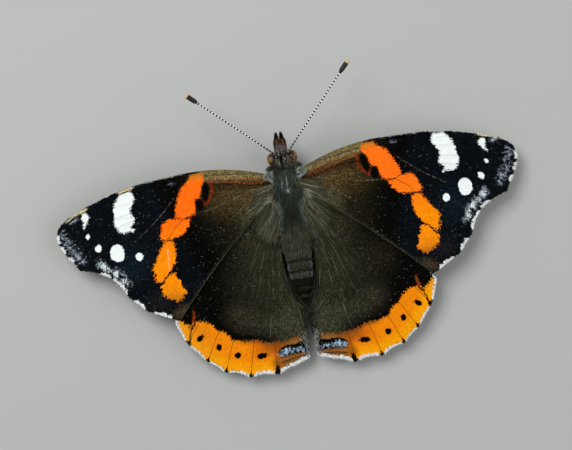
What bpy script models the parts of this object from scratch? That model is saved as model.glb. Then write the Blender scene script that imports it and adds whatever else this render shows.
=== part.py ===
"""Red admiral butterfly, life size, resting with its wings spread.

Lengths are in millimetres until they reach a mesh, and +Y is the way the butterfly faces, +Z is up.
The floor under its feet is z = 0, and the origin lies there under the middle of the whole model.
"""
import math

import bpy
import numpy as np

MM = 0.001
GAP = 0.3                     # air between two pieces that touch

# Whole animal, along its length from the front of the palps to the hind wings.
MIDDLE_Y = 3.5                # middle of the model, counted from the frame of the sizes below
TORSO_Z = 5.3                 # height of the thorax axis over the floor

# Thorax: a barrel round the body axis.
THORAX_REAR = 3.4
THORAX_FRONT = 11.7
THORAX_RADIUS = 2.25
THORAX_REAR_NARROWING = 0.3  # share of the radius squared that is gone at the rear end
THORAX_FRONT_NARROWING = 0.6

# Abdomen: widest a third of the way back, with grooves between its segments.
ABDOMEN_FRONT_RADIUS = 1.8
ABDOMEN_RADIUS = 2.15
ABDOMEN_WIDEST_Y = -1.0
ABDOMEN_TIP_Y = -8.55
ABDOMEN_DROOP = 0.8           # how far its tip hangs below the thorax axis
ABDOMEN_GROOVES = (1.3, -0.4, -2.1, -3.7, -5.0, -6.2, -7.2)
GROOVE_DEPTH = 0.14

# Head, eyes and palps.
HEAD_REAR = THORAX_FRONT + GAP
HEAD_FRONT = 14.35
HEAD_NECK_RADIUS = 1.1
HEAD_HALF_WIDTH = 1.2
HEAD_HALF_HEIGHT = 1.3
EYE_PLACE = (1.5, 13.25, 5.3)
EYE_HALF = (0.8, 0.95, 1.05)
PALP_ROOT = (0.62, 14.55, 4.95)
PALP_TIP = (0.37, 16.95, 5.6)
PALP_RADIUS = 0.44
PALP_TIP_RADIUS = 0.14

# Feelers: a thin shaft with a club. Each has its own tip, because they aren't held alike.
FEELER_ROOT = (0.95, 13.85, 6.62)
FEELER_TIPS = {"left": (-12.66, 24.62, 9.0), "right": (11.96, 25.73, 9.0)}
FEELER_RADIUS = 0.25
CLUB_RADIUS = 0.37
CLUB_LENGTH = 2.5

# Wings. Every vein is an arc from the wing's root to its end on the margin. A row holds its end,
# how far the arc bows forward, how far along it the vein leaves its neighbour, and how deep the
# margin cuts in between this vein and the next.
FORE_VEINS = (
    ("costa", (15.0, 13.6), 0.76, 0.0, -0.12),
    ("radial_1", (22.0, 13.3), 0.95, 0.30, -0.08),
    ("radial_2", (26.3, 12.55), 1.20, 0.42, -0.10),
    ("radial_3", (30.7, 11.3), 1.45, 0.50, -0.62),
    ("radial_4", (35.1, 8.7), 1.95, 0.0, -0.22),
    ("radial_5", (35.2, 6.3), 2.05, 0.50, 0.0),
    ("medial_1", (34.4, 4.5), 2.15, 0.46, 0.10),
    ("medial_2", (32.9, 2.1), 2.40, 0.44, 0.42),
    ("medial_3", (28.4, 0.2), 2.75, 0.44, 0.28),
    ("cubital_1", (26.3, -3.3), 3.50, 0.0, 0.12),
    ("cubital_2", (23.9, -5.85), 2.60, 0.30, 0.12),
    ("anal", (20.1, -7.8), 1.1, 0.0, 0.0),
    ("trailing_edge", (19.3, -8.0), 0.5, 1.0, 0.0),
)
HIND_VEINS = (
    ("costa", (19.5, -7.2), 2.6, 0.0, -0.10),
    ("subcostal", (19.9, -8.8), 1.2, 0.0, -0.05),
    ("radial", (18.7, -12.15), 0.6, 0.25, 0.06),
    ("medial_1", (16.2, -15.3), 0.5, 0.36, 0.2),
    ("medial_2", (13.75, -17.4), 0.5, 0.36, 0.42),
    ("medial_3", (10.2, -18.8), 0.4, 0.34, 0.45),
    ("cubital_1", (5.85, -19.15), 0.9, 0.0, 0.25),
    ("cubital_2", (3.0, -18.05), 1.1, 0.30, 0.06),
    ("anal", (0.9, -17.3), 0.9, 0.0, 0.0),
    ("inner_edge", (0.62, -17.1), 0.2, 1.0, 0.0),
)
FORE_ROOT_Y = (10.85, 7.7)    # where the first and the last vein leave the thorax
HIND_ROOT_Y = (7.0, 3.9)
FORE_SWING = 1.2              # degrees that both fore wings are turned against the body
FORE_PIVOT = (2.0, 9.0)
FORE_SPREAD = {"left": 1.008, "right": 0.992}   # one wing is held a little flatter than the other
SCALLOP_REACH = 8             # power that keeps the cuts of the margin close to it
WING_Z = 6.2                  # height of the fore wing at its root
WING_RISE = 1.6
WING_DROOP = 4.0
WING_CAMBER = 0.004
WING_REACH = 35.0
HIND_BELOW = 1.25             # how far the hind wing lies under the fore wing's surface
BODY_PUSH_REACH = 9.0         # how far from the body the hind wing gives way to it
HIND_PARTING = 0.35           # half the slit between the hind wings, where the abdomen ends
HIND_PARTING_SPREAD = 0.035   # and how much it opens for each step back from there
HIND_PARTING_X = -0.15        # the slit lies a little to the left of the body axis
MEMBRANE = 0.5
VEIN = 0.8
VEIN_HALF_WIDTH = 0.38
WING_ROWS = (0.0, 0.06, 0.14, 0.24, 0.36, 0.5, 0.64, 0.78, 0.9, 1.0)

# Legs: hip, knee, ankle, last foot joint and toe of the right legs.
LEG_ROUTES = {
    "leg_mid": ((2.2, 7.3, 3.2), (5.0, 8.0, 4.2), (6.9, 9.6, 0.9), (7.7, 10.7, 0.2), (9.0, 12.3, 0.2)),
    "leg_hind": ((1.9, 4.4, 3.3), (4.7, 0.9, 3.6), (6.2, -3.4, 0.9), (6.5, -4.7, 0.2), (7.0, -7.2, 0.2)),
}
LEG_HIPS = {"leg_mid": (7.2, -50.0), "leg_hind": (4.9, -55.0), "leg_fore": (10.2, -62.0)}
LEG_RADII = (0.5, 0.42, 0.3, 0.27, 0.26)
FORE_LEG_ROUTE = ((1.15, 11.5, 2.95), (0.95, 12.9, 3.1), (0.85, 13.8, 3.45))
FORE_LEG_RADII = (0.36, 0.36, 0.3, 0.26)

SIDES = {"left": -1, "right": 1}

COLOURS = {
    "body": ((0.06, 0.055, 0.045), 0.9),
    "eye": ((0.20, 0.09, 0.03), 0.3),
    "feeler": ((0.02, 0.02, 0.02), 0.6),
    "wing": ((0.05, 0.035, 0.02), 0.8),
    "leg": ((0.30, 0.22, 0.14), 0.8),
}


def clear_scene():
    for thing in list(bpy.data.objects):
        bpy.data.objects.remove(thing, do_unlink=True)


def make_collection(name):
    collection = bpy.data.collections.new(name)
    bpy.context.scene.collection.children.link(collection)
    return collection


def make_material(name, finish):
    colour, roughness = COLOURS[finish]
    material = bpy.data.materials.new(name)
    material.use_nodes = True
    shader = material.node_tree.nodes["Principled BSDF"]
    shader.inputs["Base Color"].default_value = (*colour, 1.0)
    shader.inputs["Roughness"].default_value = roughness
    shader.inputs["Metallic"].default_value = 0.0
    return material


def place(thing, collection, finish):
    """Put an object into a collection with a material of its own."""
    for home in list(thing.users_collection):
        home.objects.unlink(thing)
    collection.objects.link(thing)
    thing.data.materials.clear()
    thing.data.materials.append(make_material(thing.name + "_finish", finish))
    return thing


def to_world(point):
    """A point of the size tables, in metres, with the origin under the middle of the model."""
    return (point[0] * MM, (point[1] - MIDDLE_Y) * MM, point[2] * MM)


def thorax_radius(y):
    """Radius of the barrel: the full radius in the middle, narrowed towards both ends."""
    middle = (THORAX_REAR + THORAX_FRONT) / 2
    reach = (y - middle) / ((THORAX_FRONT - THORAX_REAR) / 2)
    narrowing = np.where(reach < 0, THORAX_REAR_NARROWING, THORAX_FRONT_NARROWING)
    return THORAX_RADIUS * np.sqrt(np.clip(1 - narrowing * reach ** 2, 0.0, 1.0))


def thorax_side(y, z):
    """Half the thorax's width at height z."""
    return np.sqrt(np.clip(thorax_radius(y) ** 2 - (z - TORSO_Z) ** 2, 0.0, None))


def abdomen_radius(y):
    """A parabola from the waist to the widest place, and half an ellipse from there to the tip."""
    front = (y - ABDOMEN_WIDEST_Y) / (THORAX_REAR - GAP - ABDOMEN_WIDEST_Y)
    rear = (y - ABDOMEN_WIDEST_Y) / (ABDOMEN_TIP_Y - 0.15 - ABDOMEN_WIDEST_Y)
    swell = ABDOMEN_RADIUS - (ABDOMEN_RADIUS - ABDOMEN_FRONT_RADIUS) * front ** 2
    taper = ABDOMEN_RADIUS * np.sqrt(np.clip(1 - rear ** 2, 0.0, 1.0))
    return np.where(y > ABDOMEN_WIDEST_Y, swell, taper)


def turned_body(name, stations, radii, steps, z_scale=1.0):
    """A profile of (station, radius) turned round the body axis, which the object lays along +Y."""
    points = [(0.0, stations[-1])]
    points += [(radius, station) for radius, station in zip(radii[::-1], stations[::-1])]
    points += [(0.0, stations[0])]
    mesh = bpy.data.meshes.new(name)
    mesh.from_pydata([(r * MM, 0.0, s * MM) for r, s in points], [(i, i + 1) for i in range(len(points) - 1)], [])
    body = bpy.data.objects.new(name, mesh)
    bpy.context.scene.collection.objects.link(body)
    body.rotation_euler = (math.radians(-90), 0.0, 0.0)
    body.scale = (1.0, z_scale, 1.0)
    screw = body.modifiers.new("turn", "SCREW")
    screw.axis = "Z"
    screw.steps = steps
    screw.render_steps = steps
    screw.use_merge_vertices = True
    screw.merge_threshold = 0.000001
    screw.use_smooth_shade = True
    return body


def make_thorax(parts):
    stations = np.linspace(THORAX_REAR, THORAX_FRONT, 13)
    thorax = turned_body("thorax", stations, thorax_radius(stations), steps=24)
    thorax.location = to_world((0.0, 0.0, TORSO_Z))
    return place(thorax, parts, "body")


def make_abdomen(parts):
    """Rings between the grooves stand proud, so the segments show as low steps."""
    edges = (THORAX_REAR - GAP, *ABDOMEN_GROOVES, ABDOMEN_TIP_Y)
    stations = [edges[0]]
    depths = [0.0]
    for start, end in zip(edges[:-1], edges[1:]):
        stations += [start + (end - start) * share for share in (0.2, 0.6, 1.0)]
        depths += [0.0, 0.0, GROOVE_DEPTH if end != ABDOMEN_TIP_Y else 0.0]
    stations = np.array(stations[::-1])
    radii = abdomen_radius(stations) - np.array(depths[::-1])
    front = THORAX_REAR - GAP
    abdomen = turned_body("abdomen", stations - front, radii, steps=24, z_scale=0.9)
    tilt = math.atan2(ABDOMEN_DROOP, front - ABDOMEN_TIP_Y)
    abdomen.rotation_euler = (math.radians(-90) + tilt, 0.0, 0.0)
    abdomen.location = to_world((0.0, front - ABDOMEN_FRONT_RADIUS * math.sin(tilt), TORSO_Z - 0.15))
    return place(abdomen, parts, "body")


def ball(name, centre, half, segments=20, rings=12):
    bpy.ops.mesh.primitive_uv_sphere_add(segments=segments, ring_count=rings, radius=1.0)
    sphere = bpy.context.object
    sphere.name = name
    sphere.scale = tuple(side * MM for side in half)
    sphere.location = to_world(centre)
    sphere.data.shade_smooth()
    return sphere


def make_head(parts, cutters):
    """A turned head, hollowed on both sides to take the eyes."""
    stations = np.linspace(HEAD_REAR, HEAD_FRONT, 9)
    middle = HEAD_REAR + (HEAD_FRONT - HEAD_REAR) * 0.45
    neck = (HEAD_NECK_RADIUS / HEAD_HALF_WIDTH) ** 2
    ahead = (stations - middle) / (HEAD_FRONT + 0.12 - middle)
    behind = (stations - middle) / (HEAD_REAR - middle)
    falloff = np.where(stations > middle, 1 - ahead ** 2, 1 - (1 - neck) * behind ** 2)
    radii = HEAD_HALF_WIDTH * np.sqrt(falloff)
    head = turned_body("head", stations, radii, steps=24, z_scale=HEAD_HALF_HEIGHT / HEAD_HALF_WIDTH)
    head.location = to_world((0.0, 0.0, TORSO_Z))
    for side, sign in SIDES.items():
        x, y, z = EYE_PLACE
        socket = ball("socket_" + side, (x * sign, y, z), [half + GAP for half in EYE_HALF])
        socket.hide_render = True
        socket.display_type = "WIRE"
        place(socket, cutters, "body")
        cut = head.modifiers.new("socket_" + side, "BOOLEAN")
        cut.operation = "DIFFERENCE"
        cut.solver = "EXACT"
        cut.object = socket
    return place(head, parts, "body")


def make_eye(parts, side):
    x, y, z = EYE_PLACE
    eye = ball("eye_" + side, (x * SIDES[side], y, z), EYE_HALF)
    return place(eye, parts, "eye")


def rod(name, points, radii, tilt=0.0):
    """A round rod through points, with its own radius at each, as a curve with filled ends."""
    curve = bpy.data.curves.new(name, "CURVE")
    curve.dimensions = "3D"
    curve.twist_mode = "Z_UP"
    curve.bevel_depth = MM
    curve.bevel_resolution = 2
    curve.use_fill_caps = True
    spline = curve.splines.new("POLY")
    spline.points.add(len(points) - 1)
    for spot, point, radius in zip(spline.points, points, radii):
        spot.co = (*to_world(point), 1.0)
        spot.radius = radius
        spot.tilt = tilt
    thing = bpy.data.objects.new(name, curve)
    bpy.context.scene.collection.objects.link(thing)
    return thing


def bend(points, steps):
    """A smooth route through a few points: a Catmull-Rom curve, read at even steps."""
    points = np.array(points, dtype=float)
    padded = np.vstack([2 * points[0] - points[1], points, 2 * points[-1] - points[-2]])
    route = []
    for index in range(len(points) - 1):
        a, b, c, d = padded[index:index + 4]
        for t in np.arange(steps) / steps:
            route.append(0.5 * (2 * b + (c - a) * t + (2 * a - 5 * b + 4 * c - d) * t ** 2
                                + (3 * b - a - 3 * c + d) * t ** 3))
    route.append(points[-1])
    return np.array(route)


def make_palp(parts, side):
    """A short blunt horn that curves up and in from the front of the head."""
    sign = SIDES[side]
    root = np.array(PALP_ROOT) * (sign, 1, 1)
    tip = np.array(PALP_TIP) * (sign, 1, 1)
    shares = np.linspace(0.0, 1.0, 6)
    points = [root + (tip - root) * (share, share, share ** 0.8) for share in shares]
    radii = PALP_TIP_RADIUS + (PALP_RADIUS - PALP_TIP_RADIUS) * (1 - shares ** 2.2)
    return place(rod("palp_" + side, points, radii), parts, "body")


def make_feeler(parts, side):
    """A straight shaft that rises in a slight bow to its club."""
    root = np.array(FEELER_ROOT) * (SIDES[side], 1, 1)
    tip = np.array(FEELER_TIPS[side])
    club = 1 - CLUB_LENGTH / np.linalg.norm(tip - root)
    shares = np.array([0.0, 0.3, 0.6, club - 0.06, club + 0.03, club + 0.08, 0.965, 0.985, 1.0])
    radii = [FEELER_RADIUS] * 4 + [CLUB_RADIUS * 0.85, CLUB_RADIUS, CLUB_RADIUS, CLUB_RADIUS * 0.8, 0.12]
    points = [root + (tip - root) * (share, share, math.sin(share * math.pi / 2)) for share in shares]
    return place(rod("antenna_" + side, points, radii), parts, "feeler")


def hip(leg, sign):
    """A point a gap away from the thorax, at the hip's place along it and angle round it."""
    y, angle = LEG_HIPS[leg]
    reach = float(thorax_radius(np.float64(y))) + GAP + 0.03
    turn = math.radians(angle)
    return (sign * reach * math.cos(turn), y, TORSO_Z + reach * math.sin(turn))


def solid_copy(thing, parts, finish):
    """The curve's own shape as a closed mesh, so that a cutter can trim it."""
    graph = bpy.context.evaluated_depsgraph_get()
    mesh = bpy.data.meshes.new_from_object(thing.evaluated_get(graph))
    solid = bpy.data.objects.new(thing.name + "_solid", mesh)
    solid.matrix_world = thing.matrix_world
    name = thing.name
    bpy.data.objects.remove(thing, do_unlink=True)
    solid.name = name
    weld = solid.modifiers.new("weld", "WELD")
    weld.merge_threshold = 0.000002
    return place(solid, parts, finish)


def make_leg(parts, floor, leg, side):
    """A leg from hip to toe, trimmed flat where the foot lies on the floor."""
    sign = SIDES[side]
    route = [np.array(point) * (sign, 1, 1) for point in LEG_ROUTES[leg][1:]]
    route = bend([hip(leg, sign), *route], 3)
    radii = np.interp(np.linspace(0, 4, len(route)), range(5), LEG_RADII)
    rod_leg = rod("_".join((leg, side)), route, radii)
    solid = solid_copy(rod_leg, parts, "leg")
    trim = solid.modifiers.new("foot", "BOOLEAN")
    trim.operation = "DIFFERENCE"
    trim.solver = "EXACT"
    trim.object = floor
    return solid


def make_fore_leg(parts, side):
    """The short brush foot, held forward under the head."""
    sign = SIDES[side]
    route = [np.array(point) * (sign, 1, 1) for point in FORE_LEG_ROUTE]
    route = bend([hip("leg_fore", sign), *route], 3)
    radii = np.interp(np.linspace(0, 3, len(route)), range(4), FORE_LEG_RADII)
    return place(rod("leg_fore_" + side, route, radii), parts, "leg")


def make_floor_cutter(cutters):
    bpy.ops.mesh.primitive_cube_add(size=1.0)
    floor = bpy.context.object
    floor.name = "floor_cutter"
    floor.scale = (0.06, 0.06, 0.01)
    floor.location = (0.0, 0.0, -0.005)
    floor.hide_render = True
    floor.display_type = "WIRE"
    return place(floor, cutters, "leg")


def sheet_height(x, y):
    """Middle of the fore wing: it rises a little from the body, droops to its tip and is cambered."""
    share = np.abs(x) / WING_REACH
    return WING_Z + WING_RISE * share - WING_DROOP * share ** 2 - WING_CAMBER * (y - 4) ** 2


def vein_arc(root, end, bow, along):
    """A chord from root to end, bent forward by a parabola that is bow high in the middle."""
    chord = end - root
    normal = np.array([-chord[1], chord[0]]) / np.hypot(*chord)
    along = np.asarray(along)[..., None]
    return root + chord * along + normal * bow * 4 * along * (1 - along)


def wing_roots(veins, root_y, below):
    """Where each vein leaves the thorax: evenly spaced along it, a gap out from its side."""
    y = np.linspace(root_y[0], root_y[1], len(veins))
    x = thorax_side(y, WING_Z - below) + GAP
    return np.stack([x, y], axis=1)


def wing_plan(veins, roots, fan, along):
    """The wing seen from above, by fan (vein number, with the share of the way to the next) and by
    along (0 at the root, 1 at the margin). Between two veins it is a straight blend of their arcs,
    cut in at the margin by a parabola that fades away inwards."""
    plan = np.zeros(fan.shape + (2,))
    for index, (vein, following) in enumerate(zip(veins[:-1], veins[1:])):
        here = (fan >= index) & ((fan < index + 1) | (index == len(veins) - 2))
        share = (fan[here] - index)[:, None]
        first = vein_arc(roots[index], np.array(vein[1]), vein[2], along[here])
        second = vein_arc(roots[index + 1], np.array(following[1]), following[2], along[here])
        outward = np.array(vein[1]) + np.array(following[1]) - roots[index] - roots[index + 1]
        outward /= np.hypot(*outward)
        cut = vein[4] * 4 * share * (1 - share) * along[here][:, None] ** SCALLOP_REACH
        plan[here] = first * (1 - share) + second * share - outward * cut
    return plan


def give_way(plan, veins, roots, sign):
    """Move the hind wing's inner part across, so that its edge follows the abdomen a gap away and
    then the slit behind it."""
    along = np.linspace(0.0, 1.0, 80)
    inner = vein_arc(roots[-1], np.array(veins[-1][1]), veins[-1][2], along)
    edge = np.interp(plan[..., 1], inner[::-1, 1], inner[::-1, 0])
    slit = HIND_PARTING + HIND_PARTING_SPREAD * np.clip(ABDOMEN_TIP_Y - plan[..., 1], 0.0, None)
    slit = slit + HIND_PARTING_X * sign
    wanted = np.maximum(abdomen_radius(plan[..., 1]) + GAP, slit)
    room = np.clip((BODY_PUSH_REACH - plan[..., 0]) / (BODY_PUSH_REACH - edge), 0.0, 1.0)
    plan[..., 0] += (wanted - edge) * room * (plan[..., 1] < THORAX_REAR)
    return plan


def swing(plan, degrees):
    turn = math.radians(degrees)
    spin = np.array([[math.cos(turn), math.sin(turn)], [-math.sin(turn), math.cos(turn)]])
    return (plan - FORE_PIVOT) @ spin + FORE_PIVOT


def make_wing(parts, kind, side):
    """One open sheet of triangles with a strip of points on both sides of every vein, which
    Solidify makes into a plate that is thicker along the veins."""
    sign = SIDES[side]
    veins = FORE_VEINS if kind == "forewing" else HIND_VEINS
    below = 0.0 if kind == "forewing" else HIND_BELOW
    root_y = FORE_ROOT_Y if kind == "forewing" else HIND_ROOT_Y
    roots = wing_roots(veins, root_y, below)
    rows = np.array(WING_ROWS)
    fan = []
    weight = []
    for index in range(len(veins) - 1):
        ends = [vein_arc(roots[k], np.array(veins[k][1]), veins[k][2], rows) for k in (index, index + 1)]
        width = np.hypot(*(ends[1] - ends[0]).T)
        foot = np.minimum(VEIN_HALF_WIDTH / width, 0.3)
        ridge = np.where(rows >= veins[index][3], 1.0, MEMBRANE / VEIN)
        flat = np.full(len(rows), MEMBRANE / VEIN)
        fan += [np.full(len(rows), float(index)), index + foot, np.full(len(rows), index + 0.5), index + 1 - foot]
        weight += [ridge, flat, flat, flat]
    fan.append(np.full(len(rows), len(veins) - 1.0))
    weight.append(np.full(len(rows), MEMBRANE / VEIN))
    fan = np.array(fan)
    weight = np.array(weight)
    along = np.broadcast_to(rows, fan.shape)
    plan = wing_plan(veins, roots, fan, along)
    if kind == "forewing":
        plan[..., 0] = roots[0, 0] + (plan[..., 0] - roots[0, 0]) * FORE_SPREAD[side]
        plan = swing(plan, FORE_SWING * sign)
    else:
        plan = give_way(plan, veins, roots, sign)
    height = sheet_height(plan[..., 0], plan[..., 1]) - below
    points = np.stack([plan[..., 0] * sign, plan[..., 1] - MIDDLE_Y, height], axis=-1).reshape(-1, 3) * MM
    columns, count = fan.shape
    first = (np.arange(columns - 1)[:, None] * count + np.arange(count - 1)).ravel()
    triangles = np.concatenate([np.stack([first, first + count, first + count + 1], axis=1),
                                np.stack([first, first + count + 1, first + 1], axis=1)])
    if sign > 0:
        triangles = triangles[:, ::-1]
    name = "_".join((kind, side))
    mesh = bpy.data.meshes.new(name)
    mesh.from_pydata(points.tolist(), [], triangles.tolist())
    wing = bpy.data.objects.new(name, mesh)
    bpy.context.scene.collection.objects.link(wing)
    group = wing.vertex_groups.new(name="thickness")
    for index, value in enumerate(weight.ravel()):
        group.add([index], float(value), "REPLACE")
    plate = wing.modifiers.new("plate", "SOLIDIFY")
    plate.thickness = VEIN * MM
    plate.offset = 0.0
    plate.vertex_group = "thickness"
    return place(wing, parts, "wing")


def main():
    clear_scene()
    parts = make_collection("red_admiral")
    cutters = make_collection("cutters")
    floor = make_floor_cutter(cutters)
    make_thorax(parts)
    make_abdomen(parts)
    make_head(parts, cutters)
    for side in SIDES:
        make_eye(parts, side)
        make_palp(parts, side)
        make_feeler(parts, side)
        make_fore_leg(parts, side)
        for leg in LEG_ROUTES:
            make_leg(parts, floor, leg, side)
        for kind in ("forewing", "hindwing"):
            make_wing(parts, kind, side)


main()
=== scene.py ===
"""Red admiral butterfly, life size, at rest with its wings spread.

The frame holds plain solids. Here each one is dressed: thin scaled wings with their marks, a coat
of hair, banded feelers, amber eyes and jointed legs. Sizes are in millimetres in the butterfly's
own frame (+Y the way it faces, +Z up) until they reach a mesh, which is in metres.
"""
import math

import bpy
import numpy as np
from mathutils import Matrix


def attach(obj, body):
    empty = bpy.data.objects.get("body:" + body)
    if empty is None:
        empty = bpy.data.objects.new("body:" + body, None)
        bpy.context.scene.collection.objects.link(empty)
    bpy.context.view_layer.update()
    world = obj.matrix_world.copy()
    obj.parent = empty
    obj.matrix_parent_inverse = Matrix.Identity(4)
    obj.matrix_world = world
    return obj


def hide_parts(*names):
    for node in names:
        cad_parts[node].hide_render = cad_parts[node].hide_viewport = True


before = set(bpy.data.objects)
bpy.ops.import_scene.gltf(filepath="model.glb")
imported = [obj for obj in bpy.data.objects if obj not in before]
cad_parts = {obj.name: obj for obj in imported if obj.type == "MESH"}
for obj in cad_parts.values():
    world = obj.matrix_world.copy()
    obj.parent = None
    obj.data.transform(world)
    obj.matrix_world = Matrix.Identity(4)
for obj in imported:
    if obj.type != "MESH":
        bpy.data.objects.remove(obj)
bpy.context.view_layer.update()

MM = 0.001
MIDDLE_Y = 3.5                # the frame's origin lies this far ahead of the zero of the sizes below
SIDES = {"left": -1, "right": 1}
TORSO_Z = 5.3
ROOT_GAP = 0.3

# Wings, as the frame's solids have them: end of each vein on the margin, how far it bows forward,
# where it leaves its neighbour, and how deep the margin cuts in before the next vein.
FORE_VEINS = (
    ("costa", (15.0, 13.6), 0.76, 0.0, -0.12),
    ("radial_1", (22.0, 13.3), 0.95, 0.30, -0.08),
    ("radial_2", (26.3, 12.55), 1.20, 0.42, -0.10),
    ("radial_3", (30.7, 11.3), 1.45, 0.50, -0.62),
    ("radial_4", (35.1, 8.7), 1.95, 0.0, -0.22),
    ("radial_5", (35.2, 6.3), 2.05, 0.50, 0.0),
    ("medial_1", (34.4, 4.5), 2.15, 0.46, 0.10),
    ("medial_2", (32.9, 2.1), 2.40, 0.44, 0.42),
    ("medial_3", (28.4, 0.2), 2.75, 0.44, 0.28),
    ("cubital_1", (26.3, -3.3), 3.50, 0.0, 0.12),
    ("cubital_2", (23.9, -5.85), 2.60, 0.30, 0.12),
    ("anal", (20.1, -7.8), 1.1, 0.0, 0.0),
    ("trailing_edge", (19.3, -8.0), 0.5, 1.0, 0.0),
)
HIND_VEINS = (
    ("costa", (19.5, -7.2), 2.6, 0.0, -0.10),
    ("subcostal", (19.9, -8.8), 1.2, 0.0, -0.05),
    ("radial", (18.7, -12.15), 0.6, 0.25, 0.06),
    ("medial_1", (16.2, -15.3), 0.5, 0.36, 0.2),
    ("medial_2", (13.75, -17.4), 0.5, 0.36, 0.42),
    ("medial_3", (10.2, -18.8), 0.4, 0.34, 0.45),
    ("cubital_1", (5.85, -19.15), 0.9, 0.0, 0.25),
    ("cubital_2", (3.0, -18.05), 1.1, 0.30, 0.06),
    ("anal", (0.9, -17.3), 0.9, 0.0, 0.0),
    ("inner_edge", (0.62, -17.1), 0.2, 1.0, 0.0),
)
VEINS = {"forewing": FORE_VEINS, "hindwing": HIND_VEINS}
ROOT_Y = {"forewing": (10.85, 7.7), "hindwing": (7.0, 3.9)}
BELOW = {"forewing": 0.0, "hindwing": 1.25}
FORE_SWING = 1.2
FORE_PIVOT = (2.0, 9.0)
FORE_SPREAD = {"left": 1.008, "right": 0.992}
SCALLOP_REACH = 8
WING_Z = 6.2
WING_RISE = 1.6
WING_DROOP = 4.0
WING_CAMBER = 0.004
WING_REACH = 35.0
BODY_PUSH_REACH = 9.0
HIND_PARTING = 0.35
HIND_PARTING_SPREAD = 0.035
HIND_PARTING_X = -0.15

# Body, as the frame's solids have it.
THORAX_REAR = 3.4
THORAX_FRONT = 11.7
THORAX_RADIUS = 2.25
THORAX_REAR_NARROWING = 0.3
THORAX_FRONT_NARROWING = 0.6
ABDOMEN_FRONT_RADIUS = 1.8
ABDOMEN_RADIUS = 2.15
ABDOMEN_WIDEST_Y = -1.0
ABDOMEN_TIP_Y = -8.55
ABDOMEN_DROOP = 0.8
ABDOMEN_GROOVES = (1.3, -0.4, -2.1, -3.7, -5.0, -6.2, -7.2)
HEAD_REAR = 12.0
HEAD_FRONT = 14.35
HEAD_HALF_WIDTH = 1.2
HEAD_HALF_HEIGHT = 1.3
EYE_PLACE = (1.5, 13.25, 5.3)
EYE_HALF = (0.8, 0.95, 1.05)


def colour(red, green, blue):
    """A display colour of 0 to 255, as the linear numbers that shaders and attributes hold."""
    share = np.array([red, green, blue]) / 255
    return np.where(share <= 0.04045, share / 12.92, ((share + 0.055) / 1.055) ** 2.4)


def smooth_step(value, low, high):
    """0 below low, 1 above high, and the cubic 3t^2 - 2t^3 in between."""
    share = np.clip((value - low) / (high - low), 0.0, 1.0)
    return share * share * (3 - 2 * share)


# Signals and finishes

MIX_FIRST = 6                 # sockets of the Mix node that hold colours
MIX_SECOND = 7
MIX_RESULT = 2


class Signal:
    """A shader socket that is reckoned with in plain Python: each operator adds a Math node."""

    def __init__(self, finish, socket):
        self.finish = finish
        self.socket = socket

    def reckon(self, operation, *terms):
        return self.finish.node("ShaderNodeMath", {"operation": operation}, dict(enumerate(terms)))

    def __add__(self, other):
        return self.reckon("ADD", self, other)

    __radd__ = __add__

    def __sub__(self, other):
        return self.reckon("SUBTRACT", self, other)

    def __rsub__(self, other):
        return self.reckon("SUBTRACT", other, self)

    def __mul__(self, other):
        return self.reckon("MULTIPLY", self, other)

    __rmul__ = __mul__

    def __truediv__(self, other):
        return self.reckon("DIVIDE", self, other)

    def __rtruediv__(self, other):
        return self.reckon("DIVIDE", other, self)

    def fraction(self):
        return self.reckon("FRACT", self)

    def distance_to(self, other):
        return self.reckon("ABSOLUTE", self - other)

    def sine(self):
        return self.reckon("SINE", self)

    def above(self, edge, softness):
        """0 below the edge and 1 above it, blurred over the given softness."""
        ends = {"Value": self, "From Min": edge - softness, "From Max": edge + softness}
        return self.finish.node("ShaderNodeMapRange", {"interpolation_type": "SMOOTHSTEP"}, ends)


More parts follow.
